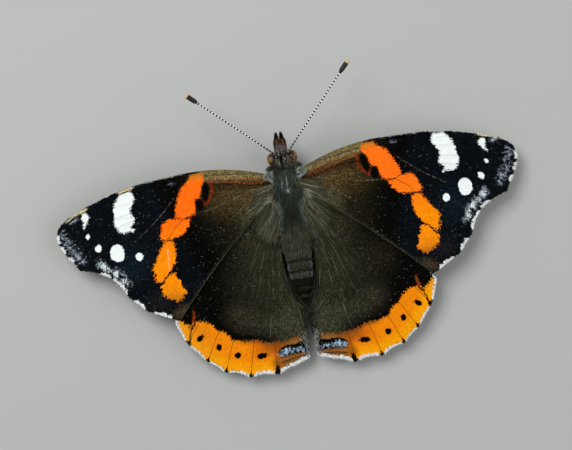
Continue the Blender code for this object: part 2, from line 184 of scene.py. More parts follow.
class Finish:
    """A material with one Principled shader, built from signals."""

    def __init__(self, name, roughness, **fixed):
        self.material = bpy.data.materials.new(name)
        self.material.use_nodes = True
        self.tree = self.material.node_tree
        self.shader = self.tree.nodes["Principled BSDF"]
        self.shader.inputs["Roughness"].default_value = roughness
        for socket, value in fixed.items():
            self.shader.inputs[socket.replace("_", " ")].default_value = value

    def node(self, kind, settings=None, sockets=None, output=0):
        made = self.tree.nodes.new(kind)
        for name, value in (settings or {}).items():
            setattr(made, name, value)
        for name, value in (sockets or {}).items():
            if isinstance(value, Signal):
                self.tree.links.new(value.socket, made.inputs[name])
            else:
                made.inputs[name].default_value = value
        return Signal(self, made.outputs[output])

    def places(self):
        return self.node("ShaderNodeTexCoord", output="Object")

    def attribute(self, name):
        return self.node("ShaderNodeAttribute", {"attribute_name": name}, output="Fac")

    def tint(self, name):
        return self.node("ShaderNodeAttribute", {"attribute_name": name}, output="Color")

    def noise(self, per_mm, detail=2.0, vector=None):
        """Soft noise with the given number of patches to a millimetre."""
        if vector is None:
            vector = self.places()
            per_mm = per_mm / MM
        sockets = {"Vector": vector, "Scale": per_mm, "Detail": detail}
        return self.node("ShaderNodeTexNoise", None, sockets)

    def cells(self, per_mm, output="Distance"):
        """Cells the size of wing scales: their distance field, or one random colour for each."""
        sockets = {"Vector": self.places(), "Scale": per_mm / MM}
        return self.node("ShaderNodeTexVoronoi", None, sockets, output)

    def vector(self, x, y, z):
        return self.node("ShaderNodeCombineXYZ", None, {0: x, 1: y, 2: z})

    def mix(self, share, first, second, blend="MIX"):
        sides = []
        for side in (first, second):
            sides.append(side if isinstance(side, Signal) else (*side, 1.0))
        settings = {"data_type": "RGBA", "blend_type": blend, "clamp_factor": True}
        sockets = {0: share, MIX_FIRST: sides[0], MIX_SECOND: sides[1]}
        return self.node("ShaderNodeMix", settings, sockets, output=MIX_RESULT)

    def scaled(self, shade, amount):
        """A colour made lighter or darker by a number that changes over the surface."""
        return self.node("ShaderNodeVectorMath", {"operation": "SCALE"}, {0: shade, "Scale": amount})

    def paint(self, shade):
        self.tree.links.new(shade.socket, self.shader.inputs["Base Color"])

    def vary(self, socket, signal):
        self.tree.links.new(signal.socket, self.shader.inputs[socket])

    def emboss(self, height, strength, depth_mm):
        sockets = {"Height": height, "Strength": strength, "Distance": depth_mm * MM}
        bump = self.node("ShaderNodeBump", None, sockets)
        self.tree.links.new(bump.socket, self.shader.inputs["Normal"])


# Meshes from arrays

def make_mesh(name, points, triangles, finish, numbers=None, tints=None, patch=None):
    """An object from points in millimetres and triangles, with number and colour attributes on its
    points and, for a coat, a map named OFBake."""
    mesh = bpy.data.meshes.new(name)
    spots = points.reshape(-1, 3) - (0.0, MIDDLE_Y, 0.0)
    mesh.vertices.add(len(spots))
    mesh.vertices.foreach_set("co", (spots * MM).astype(np.float32).ravel())
    corners = np.ascontiguousarray(triangles, dtype=np.int32)
    mesh.loops.add(corners.size)
    mesh.loops.foreach_set("vertex_index", corners.ravel())
    mesh.polygons.add(len(corners))
    mesh.polygons.foreach_set("loop_start", np.arange(0, corners.size, 3, dtype=np.int32))
    for key, values in (numbers or {}).items():
        layer = mesh.attributes.new(key, "FLOAT", "POINT")
        layer.data.foreach_set("value", values.astype(np.float32).ravel())
    for key, values in (tints or {}).items():
        full = np.concatenate([values.reshape(-1, 3), np.ones((len(spots), 1))], axis=1)
        layer = mesh.attributes.new(key, "FLOAT_COLOR", "POINT")
        layer.data.foreach_set("color", full.astype(np.float32).ravel())
    if patch is not None:
        layer = mesh.uv_layers.new(name="OFBake")
        spread = patch.reshape(-1, 2)[corners.ravel()]
        layer.data.foreach_set("uv", spread.astype(np.float32).ravel())
    mesh.update(calc_edges=True)
    mesh.validate()
    mesh.shade_smooth()
    mesh.materials.append(finish.material)
    thing = bpy.data.objects.new(name, mesh)
    bpy.context.scene.collection.objects.link(thing)
    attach(thing, "root")
    return thing


def quads(a, b, c, d):
    """Two triangles for each four-sided cell, with the same diagonal throughout."""
    return np.concatenate([np.stack([a, b, c], axis=1), np.stack([a, c, d], axis=1)])


def grid_triangles(rows, columns):
    """Triangles of a grid of points, row by row."""
    row, column = np.meshgrid(np.arange(rows - 1), np.arange(columns - 1), indexing="ij")
    a = (row * columns + column).ravel()
    b = ((row + 1) * columns + column).ravel()
    return quads(a, b, b + 1, a + 1)


def closed_tube(rings):
    """Points and triangles of a tube from an array (rings, sides, 3), with a point at each end."""
    count, sides = rings.shape[:2]
    ends = np.stack([rings[0].mean(axis=0), rings[-1].mean(axis=0)])
    points = np.concatenate([rings.reshape(-1, 3), ends])
    ring, side = np.meshgrid(np.arange(count - 1), np.arange(sides), indexing="ij")
    a = (ring * sides + side).ravel()
    b = (ring * sides + (side + 1) % sides).ravel()
    walls = quads(a, b, b + sides, a + sides)
    side = np.arange(sides)
    after = (side + 1) % sides
    last = (count - 1) * sides
    first_cap = np.stack([np.full(sides, count * sides), after, side], axis=1)
    last_cap = np.stack([np.full(sides, count * sides + 1), last + side, last + after], axis=1)
    return points, np.concatenate([walls, first_cap, last_cap])


def plate(top, bottom):
    """Points and triangles of a closed thin plate: two like grids joined round their rims."""
    rows, columns = top.shape[:2]
    below = rows * columns
    upper = grid_triangles(rows, columns)
    index = np.arange(below).reshape(rows, columns)
    rim = np.concatenate([index[:, 0], index[-1, 1:], index[::-1, -1][1:], index[0, ::-1][1:-1]])
    after = np.roll(rim, -1)
    wall = quads(rim, rim + below, after + below, after)
    triangles = np.concatenate([upper, upper[:, ::-1] + below, wall])
    return np.concatenate([top.reshape(-1, 3), bottom.reshape(-1, 3)]), triangles


UP = np.array([0.0, 0.0, 1.0])
FORWARD = np.array([0.0, 1.0, 0.0])


def unit(vectors):
    return vectors / np.maximum(np.linalg.norm(vectors, axis=-1, keepdims=True), 1e-9)


def bell(value, middle, reach):
    """1 in the middle, falling to both sides as exp(-t^2), with t = 1 at the reach."""
    return np.exp(-((value - middle) / reach) ** 2)


def tube_rings(path, radius, sides, squash=1.0):
    """Rings round a path: each point's circle of the given radius, square to the path, with the
    section's upright direction multiplied by squash."""
    path = np.asarray(path, dtype=float)
    along = unit(np.gradient(path, axis=0))
    up = UP - along * along[:, 2:3]
    steep = np.linalg.norm(up, axis=1, keepdims=True) < 0.05
    up = unit(np.where(steep, FORWARD, up))
    across = np.cross(along, up)
    turn = np.linspace(0.0, 2 * math.pi, sides, endpoint=False)[None, :, None]
    circle = across[:, None] * np.cos(turn) + up[:, None] * np.sin(turn) * squash
    return path[:, None] + circle * np.broadcast_to(radius, len(path))[:, None, None]


def bend(points, steps):
    """A smooth route through a few points: a Catmull-Rom curve, read at even steps."""
    points = np.array(points, dtype=float)
    padded = np.vstack([2 * points[0] - points[1], points, 2 * points[-1] - points[-2]])
    t = (np.arange(steps) / steps)[:, None]
    route = []
    for a, b, c, d in zip(padded[:-3], padded[1:-2], padded[2:-1], padded[3:]):
        route.append(0.5 * (2 * b + (c - a) * t + (2 * a - 5 * b + 4 * c - d) * t ** 2
                            + (3 * b - a - 3 * c + d) * t ** 3))
    return np.vstack([*route, points[-1:]])


TUFT_STEPS = np.array([0.0, 0.35, 0.7])
TUFT_CORNERS = np.array([(1.0, 0.0), (-0.5, 0.55), (-0.5, -0.55)])
TUFT_WIDE = 1.8               # what a tuft's section is multiplied by, sideways and upwards
TUFT_THICK = 0.35
TUFT_DROOP = 0.7              # how much of its lift a tuft has lost at its tip, and what is left
TUFT_TIP_LIFT = 0.3
TUFT_PATCH = 0.003            # side of a tuft's patch in its map
HAIR_TAPER = np.array([1.0, 0.85, 0.5])
SCALE_TAPER = np.array([0.7, 1.0, 0.95])


def tuft_faces():
    """A tuft's 16 triangles: a cap at its root, two rings of walls and a point."""
    faces = [(0, 2, 1)]
    for ring in (0, 3):
        for side in range(3):
            after = (side + 1) % 3
            faces.append((ring + side, ring + after, ring + after + 3))
            faces.append((ring + side, ring + after + 3, ring + side + 3))
    for side in range(3):
        faces.append((6 + side, 6 + (side + 1) % 3, 9))
    return np.array(faces)


def grow(name, finish, roots, lie, up, length, width, tints, unwrap, rise=0.25, taper=HAIR_TAPER,
         sweep=0.0, root_painted_shade=0.6):
    """A coat of closed three-sided tufts. A tuft leaves its root along lie, lifts off the skin by
    rise * length * (t - 0.7 t^2), swings sideways by sweep * length * t^2, and its flat
    three-cornered section narrows by the taper to a point. Its tint is darkened towards the root as
    painted shade, where its neighbours would shade it, and its map is a small patch at the root's place."""
    count = len(roots)
    length, width, rise, sweep = (np.broadcast_to(size, count) for size in (length, width, rise, sweep))
    lie = unit(lie)
    across = unit(np.cross(lie, up))
    upright = unit(np.cross(across, lie))
    swing = across * (sweep * length)[:, None]
    reach = lie[:, None] * (length[:, None] * TUFT_STEPS)[..., None]
    lift = (rise * length)[:, None] * (TUFT_STEPS - TUFT_DROOP * TUFT_STEPS ** 2)
    middle = roots[:, None] + reach + upright[:, None] * lift[..., None]
    middle = middle + swing[:, None] * (TUFT_STEPS ** 2)[:, None]
    sideways = across[:, None, None] * TUFT_CORNERS[:, 1][None, None, :, None] * TUFT_WIDE
    lifted = upright[:, None, None] * TUFT_CORNERS[:, 0][None, None, :, None] * TUFT_THICK
    size = (width[:, None] / 2 * taper)[:, :, None, None]
    rings = middle[:, :, None] + (sideways + lifted) * size
    tips = roots + lie * length[:, None] + upright * (rise * length * TUFT_TIP_LIFT)[:, None] + swing
    points = np.concatenate([rings.reshape(count, -1, 3), tips[:, None]], axis=1)
    triangles = (np.arange(count) * points.shape[1])[:, None, None] + tuft_faces()[None]
    far = np.concatenate([np.repeat(TUFT_STEPS, 3), [1.0]])
    # painted shade: each tuft is darker at its root, where the hairs around it would shade it
    shade = root_painted_shade + (1 - root_painted_shade) * far
    tinted = tints[:, None] * shade[None, :, None]
    spread = np.stack([np.tile([0.0, 0.5, 1.0], 3), np.repeat(TUFT_STEPS, 3)], axis=1)
    spread = np.concatenate([spread, [[0.5, 1.0]]]) * TUFT_PATCH
    patch = np.clip(unwrap[:, None], 0.0, 1.0 - TUFT_PATCH) + spread[None]
    tints = {"tint": tinted}
    return make_mesh(name, points, triangles.reshape(-1, 3), finish, tints=tints, patch=patch)


# Shape of the wings

def thorax_radius(y):
    """Radius of the barrel: the full radius in the middle, narrowed towards both ends."""
    middle = (THORAX_REAR + THORAX_FRONT) / 2
    reach = (y - middle) / ((THORAX_FRONT - THORAX_REAR) / 2)
    narrowing = np.where(reach < 0, THORAX_REAR_NARROWING, THORAX_FRONT_NARROWING)
    return THORAX_RADIUS * np.sqrt(np.clip(1 - narrowing * reach ** 2, 0.0, 1.0))


def abdomen_radius(y):
    """A parabola from the waist to the widest place, and half an ellipse from there to the tip."""
    front = (y - ABDOMEN_WIDEST_Y) / (THORAX_REAR - ROOT_GAP - ABDOMEN_WIDEST_Y)
    rear = (y - ABDOMEN_WIDEST_Y) / (ABDOMEN_TIP_Y - 0.15 - ABDOMEN_WIDEST_Y)
    swell = ABDOMEN_RADIUS - (ABDOMEN_RADIUS - ABDOMEN_FRONT_RADIUS) * front ** 2
    taper = ABDOMEN_RADIUS * np.sqrt(np.clip(1 - rear ** 2, 0.0, 1.0))
    return np.where(y > ABDOMEN_WIDEST_Y, np.clip(swell, 0.0, None), taper)


def vein_arc(root, end, bow, along):
    """A chord from root to end, bent forward by a parabola that is bow high in the middle."""
    chord = end - root
    normal = np.array([-chord[1], chord[0]]) / np.hypot(*chord)
    along = np.asarray(along)[..., None]
    return root + chord * along + normal * bow * 4 * along * (1 - along)


def wing_roots(kind):
    """Where each vein leaves the thorax: evenly spaced along it, just out from its side."""
    veins = VEINS[kind]
    y = np.linspace(*ROOT_Y[kind], len(veins))
    height = WING_Z - BELOW[kind] - TORSO_Z
    side = np.sqrt(np.clip(thorax_radius(y) ** 2 - height ** 2, 0.0, None))
    return np.stack([side + ROOT_GAP, y], axis=1)


def wing_plan(kind, fan, along):
    """The wing seen from above, by fan (vein number, with the share of the way to the next) and by
    along (0 at the root, 1 at the margin). Between two veins it is a straight blend of their arcs,
    cut in at the margin by a parabola that fades away inwards."""
    veins = VEINS[kind]
    roots = wing_roots(kind)
    plan = np.zeros(np.shape(fan) + (2,))
    for index, (vein, following) in enumerate(zip(veins[:-1], veins[1:])):
        here = (fan >= index) & ((fan < index + 1) | (index == len(veins) - 2))
        share = (fan[here] - index)[:, None]
        first = vein_arc(roots[index], np.array(vein[1]), vein[2], along[here])
        second = vein_arc(roots[index + 1], np.array(following[1]), following[2], along[here])
        outward = unit(np.array(vein[1]) + np.array(following[1]) - roots[index] - roots[index + 1])
        cut = vein[4] * 4 * share * (1 - share) * along[here][:, None] ** SCALLOP_REACH
        plan[here] = first * (1 - share) + second * share - outward * cut
    return plan


def give_way(plan, sign):
    """Move the hind wing's inner part across, so that its edge follows the abdomen a gap away and
    then the slit behind it."""
    root = wing_roots("hindwing")[-1]
    last = HIND_VEINS[-1]
    inner = vein_arc(root, np.array(last[1]), last[2], np.linspace(0.0, 1.0, 80))
    edge = np.interp(plan[..., 1], inner[::-1, 1], inner[::-1, 0])
    slit = HIND_PARTING + HIND_PARTING_SPREAD * np.clip(ABDOMEN_TIP_Y - plan[..., 1], 0.0, None)
    slit = slit + HIND_PARTING_X * sign
    wanted = np.maximum(abdomen_radius(plan[..., 1]) + ROOT_GAP, slit)
    room = np.clip((BODY_PUSH_REACH - plan[..., 0]) / (BODY_PUSH_REACH - edge), 0.0, 1.0)
    moved = plan.copy()
    moved[..., 0] += (wanted - edge) * room * (plan[..., 1] < THORAX_REAR)
    return moved


def sheet_height(x, y):
    """Middle of the fore wing: it rises a little from the body, droops to its tip and is cambered."""
    share = np.abs(x) / WING_REACH
    return WING_Z + WING_RISE * share - WING_DROOP * share ** 2 - WING_CAMBER * (y - 4) ** 2


MEMBRANE_SHIFT = {"forewing": -0.1, "hindwing": 0.1}   # the thin wings lie closer than the solids
OVERLAP_SHIFT = 0.33          # and closer still where the fore wing lies on the hind wing,
FORE_OVERLAP = (7.5, 11.5)    # which comes in over these veins of each
HIND_OVERLAP = (-3.0, -0.6)
ROOT_SINK = {"forewing": 0.02, "hindwing": 0.03}       # share of the length that sinks into the coat
PLEAT = 0.10
PLEAT_START = (0.15, 0.6)     # share of the wing's length over which the pleats come in
VEIN_RIDGE = 0.05
VEIN_RIDGE_WIDTH = 0.11


def wing_surface(kind, side, fan, along):
    """Points of the wing's middle surface in space, and its plan before it is turned: the plan is
    spread, swung or moved aside as the frame's wing is, and its height is the sheet's, pleated
    between the veins by a sine and raised along them by a bell curve."""
    sign = SIDES[side]
    flat = wing_plan(kind, fan, along)
    if kind == "forewing":
        start = wing_roots(kind)[0, 0]
        plan = flat.copy()
        plan[..., 0] = start + (flat[..., 0] - start) * FORE_SPREAD[side]
        turn = math.radians(FORE_SWING * sign)
        spin = np.array([[math.cos(turn), math.sin(turn)], [-math.sin(turn), math.cos(turn)]])
        plan = (plan - FORE_PIVOT) @ spin + FORE_PIVOT
    else:
        plan = give_way(flat, sign)
    height = sheet_height(plan[..., 0], plan[..., 1]) - BELOW[kind] + MEMBRANE_SHIFT[kind]
    if kind == "forewing":
        height = height - OVERLAP_SHIFT * smooth_step(fan, *FORE_OVERLAP)
    else:
        height = height + OVERLAP_SHIFT * smooth_step(-fan, *HIND_OVERLAP)
    between = fan - np.floor(fan)
    height = height - PLEAT * np.sin(between * math.pi) ** 2 * smooth_step(along, *PLEAT_START)
    surface = np.stack([plan[..., 0] * sign, plan[..., 1], height], axis=-1)
    return surface, flat


def vein_distance(kind, fan, along):
    """How far a point lies from the nearest vein, across the wing; veins start where they fork."""
    veins = VEINS[kind]
    flat = wing_plan(kind, fan, along)
    nearest = np.full(fan.shape, 9.0)
    for index, vein in enumerate(veins[:-1]):
        line = wing_plan(kind, np.full(fan.shape, float(index)), along)
        gap = np.hypot(*np.moveaxis(flat - line, -1, 0))
        nearest = np.minimum(nearest, np.where(along >= vein[3] - 0.02, gap, 9.0))
    return nearest


# Marks of the wings: signed depths in millimetres, above zero inside a mark

NO_MARK = -9.0
FAR = 99.0


def edge_distance(x, y, start, end):
    """Distance to a straight piece of line: to its nearest point, held between its ends."""
    (ax, ay), (bx, by) = start, end
    along = ((x - ax) * (bx - ax) + (y - ay) * (by - ay)) / ((bx - ax) ** 2 + (by - ay) ** 2)
    along = np.clip(along, 0, 1)
    return np.hypot(x - ax - along * (bx - ax), y - ay - along * (by - ay))


def polygon_depth(flat, corners):
    """Distance to the outline of a polygon, counted positive inside it."""
    corners = np.array(corners, dtype=float)
    x, y = flat[..., 0], flat[..., 1]
    inside = np.zeros(x.shape, dtype=bool)
    nearest = np.full(x.shape, FAR)
    for (ax, ay), (bx, by) in zip(corners, np.roll(corners, -1, axis=0)):
        nearest = np.minimum(nearest, edge_distance(x, y, (ax, ay), (bx, by)))
        crossing = (ay > y) != (by > y)
        rise = by - ay if by != ay else 1.0
        inside ^= crossing & (x < (bx - ax) * (y - ay) / rise + ax)
    return np.where(inside, nearest, -nearest)


def stroke_depth(flat, corners, half_width):
    """Depth inside a line drawn through the corners with a pen of the given half width."""
    x, y = flat[..., 0], flat[..., 1]
    nearest = np.full(x.shape, FAR)
    for start, end in zip(corners[:-1], corners[1:]):
        nearest = np.minimum(nearest, edge_distance(x, y, start, end))
    return half_width - nearest


def oval_depth(flat, centre, half, turn=0.0):
    """Depth inside an oval: one minus its scaled radius, times its smaller half width."""
    turn = math.radians(turn)
    x = flat[..., 0] - centre[0]
    y = flat[..., 1] - centre[1]
    across = (x * math.cos(turn) + y * math.sin(turn)) / half[0]
    upright = (-x * math.sin(turn) + y * math.cos(turn)) / half[1]
    return (1 - np.hypot(across, upright)) * min(half)


def blob(flat, centre, half, turn=0.0):
    """A soft patch: 1 in its middle, fading to 0 at its edge."""
    return smooth_step(oval_depth(flat, centre, half, turn) / min(half), 0.0, 0.9)


def deepest(*depths):
    return np.maximum.reduce(depths)


# Marks are drawn in the wing's own plan: outlines and lines by their corners, ovals and patches by
# centre, half sizes and turn. White stretches of the fringe are given from vein to vein.
FORE_BAND = (
    ((12.2, 13.2), (12.0, 12.0), (12.6, 11.3), (13.0, 10.2), (13.2, 9.6), (13.6, 9.5), (14.1, 9.2),
     (14.2, 8.3), (14.5, 7.4), (15.3, 7.1), (16.6, 7.0), (17.6, 7.6), (17.5, 8.0), (17.4, 8.8),
     (17.0, 9.8), (16.5, 10.8), (15.9, 11.8), (15.0, 12.3), (14.2, 13.2)),
    ((15.2, 7.0), (17.7, 7.5), (18.5, 7.6), (19.3, 7.3), (19.8, 6.6), (20.1, 5.6), (20.3, 5.0),
     (19.9, 4.5), (18.0, 4.5), (17.0, 4.8), (16.2, 5.2), (15.6, 6.0)),
    ((18.4, 4.2), (19.3, 4.5), (20.0, 4.1), (20.6, 3.2), (21.1, 2.2), (22.0, 1.1), (22.2, 0.4),
     (21.95, -0.3), (22.0, -1.0), (21.6, -1.5), (21.0, -1.7), (19.2, 0.2), (18.6, 1.0), (18.4, 2.0),
     (18.2, 3.0)),
    ((18.9, -0.5), (19.9, -0.5), (21.3, -2.0), (21.5, -2.9), (21.1, -3.8), (20.3, -4.4), (19.2, -4.9),
     (18.3, -4.4), (17.8, -3.6), (18.3, -3.0), (18.3, -2.0), (18.8, -1.0)),
)
FORE_BAR = (
    (23.2, 12.85), (22.8, 12.0), (22.8, 11.2), (23.3, 10.5), (23.7, 10.0), (23.5, 9.2), (23.3, 8.3),
    (23.6, 7.7), (24.0, 7.4), (23.6, 7.0), (23.8, 6.5), (24.3, 6.8), (25.4, 6.6), (26.0, 6.9),
    (26.2, 7.5), (26.6, 8.0), (26.5, 8.8), (26.3, 9.5), (26.3, 10.4), (26.1, 11.2), (25.8, 11.6),
    (25.1, 12.6),
)
FORE_TIP_MARK = (
    (30.0, 10.9), (30.7, 10.9), (31.0, 10.2), (30.7, 9.4), (31.0, 8.6), (30.7, 8.4), (30.1, 9.0),
    (29.5, 10.1),
)
FORE_BAR_CAP = ((22.9, 13.2), (24.9, 12.85))
FORE_LARGE_SPOT = (
    (25.6, 3.2), (25.5, 4.3), (25.9, 5.1), (26.6, 5.45), (27.3, 5.15), (27.75, 4.4), (27.7, 3.4),
    (27.2, 2.75), (26.5, 2.55), (26.0, 2.75),
)
FORE_SPOTS = (
    ((30.4, 7.2), (0.34, 0.48), 25), ((29.2, 5.2), (0.52, 0.64), 20), ((23.5, 2.9), (0.62, 0.66), 0),
)
FORE_OBLONG = ((12.3, 10.35), (0.5, 1.5), 12)
FORE_KNOB = ((13.55, 8.55), (0.6, 0.78), 0)
FORE_RIM = ((11.35, 11.6), (11.2, 10.5), (11.7, 9.2), (12.6, 8.45), (13.1, 9.1))
FORE_RUST = ((3.6, 10.1), (6.0, 10.4), (8.0, 11.0), (12.0, 11.9))
FORE_RUST_SECOND = ((4.2, 10.7), (7.0, 11.4), (11.0, 12.3))
FORE_INK = (
    ((15.6, 7.2), (16.6, 7.0), (18.0, 5.9), (19.3, 4.5)), ((18.9, 0.4), (20.4, -0.9), (21.5, -2.1)),
    ((12.4, 8.0), (15.0, 7.3)),
)
FORE_THREADS = (
    ((17.2, 10.5), (18.5, 9.2), (20.5, 7.5), (22.0, 6.4), (24.0, 5.0)),
    ((4.0, 9.5), (5.7, 9.2), (7.5, 8.6), (9.1, 8.3), (11.7, 7.6), (13.9, 7.4)),
    ((3.4, 9.3), (5.5, 7.9), (7.4, 6.9), (9.5, 5.3)),
    ((24.3, 2.1), (25.8, 1.0), (27.3, -0.8)),
)
FORE_SCRATCH = ((19.14, 2.94), (19.3, 1.4), (19.44, -0.04))
FORE_BUFF = ((30.0, 11.35), (31.5, 10.9), (33.2, 10.15))
FORE_SPECKLE = (
    ((28.9, 2.4), (1.5, 1.1), 40), ((27.3, 1.0), (1.5, 0.9), 45), ((26.3, -0.5), (0.85, 1.3), 20),
)
FORE_SPECKLE_ROW = ((29.3, 2.9), (28.2, 1.7), (26.9, 0.7), (26.0, -1.0))
FORE_FROST = ((34.1, 8.2), (33.7, 7.2), (33.3, 6.0), (32.6, 4.9), (31.8, 3.9))

# How far the marks stand from the plan: all of them, the band with the place where it moves most
# and how far round it, the tip's marks outwards, and the left wing's backwards.
FORE_MARKS_SHIFT = (-0.15, 0.03)
BAND_SHIFT = {"left": (-0.25, 16.0), "right": (-0.1, 17.0)}
BAND_SHIFT_REACH = 4.5
TIP_SHIFT = 0.18
LEFT_DROP = -0.28

FORE_WHITE_FRINGE = (
    (4.33, 4.87), (5.08, 5.7), (6.08, 6.45), (7.58, 7.97), (8.1, 8.86), (9.26, 9.84), (10.22, 10.87),
)

HIND_INNER_EDGE = (
    (16.9, -8.7), (16.1, -8.9), (15.3, -9.2), (14.2, -9.95), (13.9, -10.7), (12.9, -11.2),
    (12.2, -11.75), (12.05, -12.2), (11.5, -12.65), (10.2, -13.0), (8.7, -12.95), (8.0, -13.2),
    (6.8, -13.65), (5.6, -13.75), (4.4, -13.95), (3.0, -13.55), (1.8, -13.7),
)
HIND_OUTSIDE = ((0.9, -16.9), (1.5, -21.0), (14.0, -21.0), (21.0, -14.0), (19.0, -10.9), (17.6, -9.4))
HIND_CORNER = (
    (19.4, -7.9), (18.95, -8.2), (18.5, -9.0), (17.9, -9.2), (17.5, -9.35), (18.1, -10.6),
    (18.6, -11.8), (21.0, -12.0), (21.0, -8.0),
)
HIND_RUST = ((16.9, -7.5), (17.0, -8.2), (17.3, -8.9))
HIND_DARK_VEIN = ((17.0, -9.1), (17.6, -9.8), (18.0, -10.6), (18.3, -12.4))
HIND_SPOTS = (((16.6, -11.45), (0.74, 0.38), -35), ((14.1, -13.3), (0.44, 0.56), 10),
              ((11.45, -15.0), (0.52, 0.48), 0), ((7.85, -15.65), (0.84, 0.44), -8))
HIND_EYE_BAR = (
    (0.9, -14.6), (2.0, -14.5), (3.0, -14.65), (4.1, -14.6), (4.9, -14.95), (5.5, -15.45),
    (5.25, -16.0), (4.4, -16.35), (3.5, -16.1), (2.6, -16.2), (1.8, -16.1), (0.9, -16.2),
)
HIND_RIGHT_SHIFT = (0.0, 0.12)
HIND_BLUE = (((4.2, -15.68), (0.8, 0.42), -12), ((2.45, -15.68), (0.75, 0.27), 6))
HIND_THIN_LINE = ((1.4, -16.6), (3.2, -16.8), (5.0, -17.2))
HIND_BROWN_LINE = ((1.4, -16.15), (3.2, -16.25), (5.2, -16.4))
HIND_WHITE_FRINGE = ((0.6, 1.82), (2.16, 2.88), (3.12, 3.9), (4.1, 4.9), (5.1, 5.86), (6.14, 9.0))
WHITE_FRINGE = {"forewing": FORE_WHITE_FRINGE, "hindwing": HIND_WHITE_FRINGE}


def read_marks(flat, side):
    """The place in the marks' own map that shows at a place on this side's fore wing."""
    shift = np.broadcast_to(FORE_MARKS_SHIFT, flat.shape).copy()
    x, y = flat[..., 0], flat[..., 1]
    band_shift, most = BAND_SHIFT[side]
    shift[..., 0] += band_shift * bell(x, most, BAND_SHIFT_REACH)
    if side == "right":
        shift[..., 0] += TIP_SHIFT * smooth_step(x, 27.0, 29.5)
    else:
        shift[..., 0] += TIP_SHIFT * smooth_step(x, 21.5, 23.5) * smooth_step(-y, -6.0, -4.0)
        shift[..., 0] += TIP_SHIFT * smooth_step(x, 26.5, 30.0) * (1 + smooth_step(y, 4.0, 6.0))
        shift[..., 1] += LEFT_DROP * smooth_step(x, 13.0, 18.0)
    return flat - shift


def lay(ground, *layers):
    """Colours with others laid over them in turn, each as strongly as its patch says."""
    for patch, shade in layers:
        ground = ground + (colour(*shade) - ground) * patch[..., None]
    return ground


def flood(shade, x):
    """One colour for every place."""
    return np.tile(colour(*shade), x.shape + (1,))


def line(flat, corners, half_width, softness=0.08):
    """A soft-edged line: 1 along its middle, 0 beside it."""
    return smooth_step(stroke_depth(flat, corners, half_width), -softness, softness)


def fringe_rim(kind, edge, fan, thick, margin):
    """Depth of the white that the fringe's scales carry on to the wing, between its dark notches."""
    return fringe_white(kind, fan) * thick - np.clip(edge - margin, 0.0, None) - 0.12


MARKS = ("orange", "dark", "white", "frost", "ink", "thread", "blue")


def all_marks(x, **depths):
    """Every mark that the scales can show: one that isn't given is nowhere."""
    return {mark: depths.get(mark, np.full(x.shape, NO_MARK)) for mark in MARKS}


def fore_ground(flat, fan, side, hem):
    """Ground colours of the fore wing's upper side."""
    x, y = flat[..., 0], flat[..., 1]
    costa = 11.0 + 0.2 * x - 0.0035 * x * x
    inner = smooth_step(13.5 - x, 0.0, 1.5)
    near_costa = smooth_step(y - costa + 1.6, 0.0, 0.5) * inner
    behind_costa = np.clip(smooth_step(y - costa + 2.9, 0.0, 0.5) * inner - near_costa, 0.0, 1.0)
    stripe = smooth_step(-np.abs(y - costa + 0.55), -0.4, -0.1)
    groove = smooth_step(-np.abs(y - costa + 0.25), -0.14, -0.04)
    ground = lay(
        flood((7, 11, 15), x),
        # black inside the band, and a brown disc that turns golden forwards and olive at the root
        (smooth_step(17.5 - x + (y - 4) * 0.35, -0.5, 2.0), (5, 5, 3)),
        (smooth_step(13.5 - x + (y - 2) * 0.3, -1.0, 5.0), (27, 24, 14)),
        (blob(flat, (8.0, 8.2), (7.6, 4.0), 6), (58, 46, 21)),
        (blob(flat, (7.0, 9.0), (6.0, 2.2), 6) * 0.8, (78, 63, 32)),
        (smooth_step(9.5 - x, 0.0, 5.0) * smooth_step(8.8 - y, 0.0, 3.0) * 0.85, (80, 79, 59)),
        # the buff leading edge with its grooves, and the rust lines behind it
        (near_costa * 0.9, (116, 102, 64)),
        (behind_costa * 0.5, (44, 28, 12)),
        (near_costa * stripe * 0.6, (118, 104, 68)),
        (near_costa * smooth_step(8.0 - x, 0.0, 3.0) * 0.35, (80, 66, 44)),
        (near_costa * smooth_step(costa - y, 0.7, 1.2) * 0.8, (68, 50, 26)),
        (near_costa * groove * 0.6, (52, 44, 28)),
        (line(flat, FORE_RUST, 0.12, 0.14) * 0.7, (120, 60, 26)),
        (line(flat, FORE_RUST_SECOND, 0.08, 0.12) * 0.7, (142, 92, 44)),
        (line(flat, FORE_RIM, 0.16, 0.12) * 0.9, (124, 38, 8)),
    )
    if side == "left":
        ground = ground * (1 - 0.3 * blob(flat, (14.5, 1.5), (5.5, 6.0)))[..., None]
    return lay(
        ground,
        # the trailing corner and edge, the pale ends of the costa's marks, and the tip's painted blue
        # sheen
        (blob(flat, (21.8, -4.3), (2.4, 2.6), 30) * 0.7, (28, 25, 27)),
        (blob(flat, (19.2, -6.6), (2.4, 1.5), -30) * 0.8, (66, 55, 37)),
        (smooth_step(fan, 11.45, 12.0) * 0.6, (44, 41, 30)),
        (line(flat, FORE_BUFF, 0.2, 0.1) * 0.9, (196, 178, 140)),
        (line(flat, FORE_BAR_CAP, 0.16, 0.06), (206, 178, 132)),
        # painted sheen: blue laid over the black
        (blob(flat, (24.5, 2.0), (4.5, 4.6)) * 0.8, (12, 24, 31)),
        (hem * 0.45, (74, 75, 64)),
    )


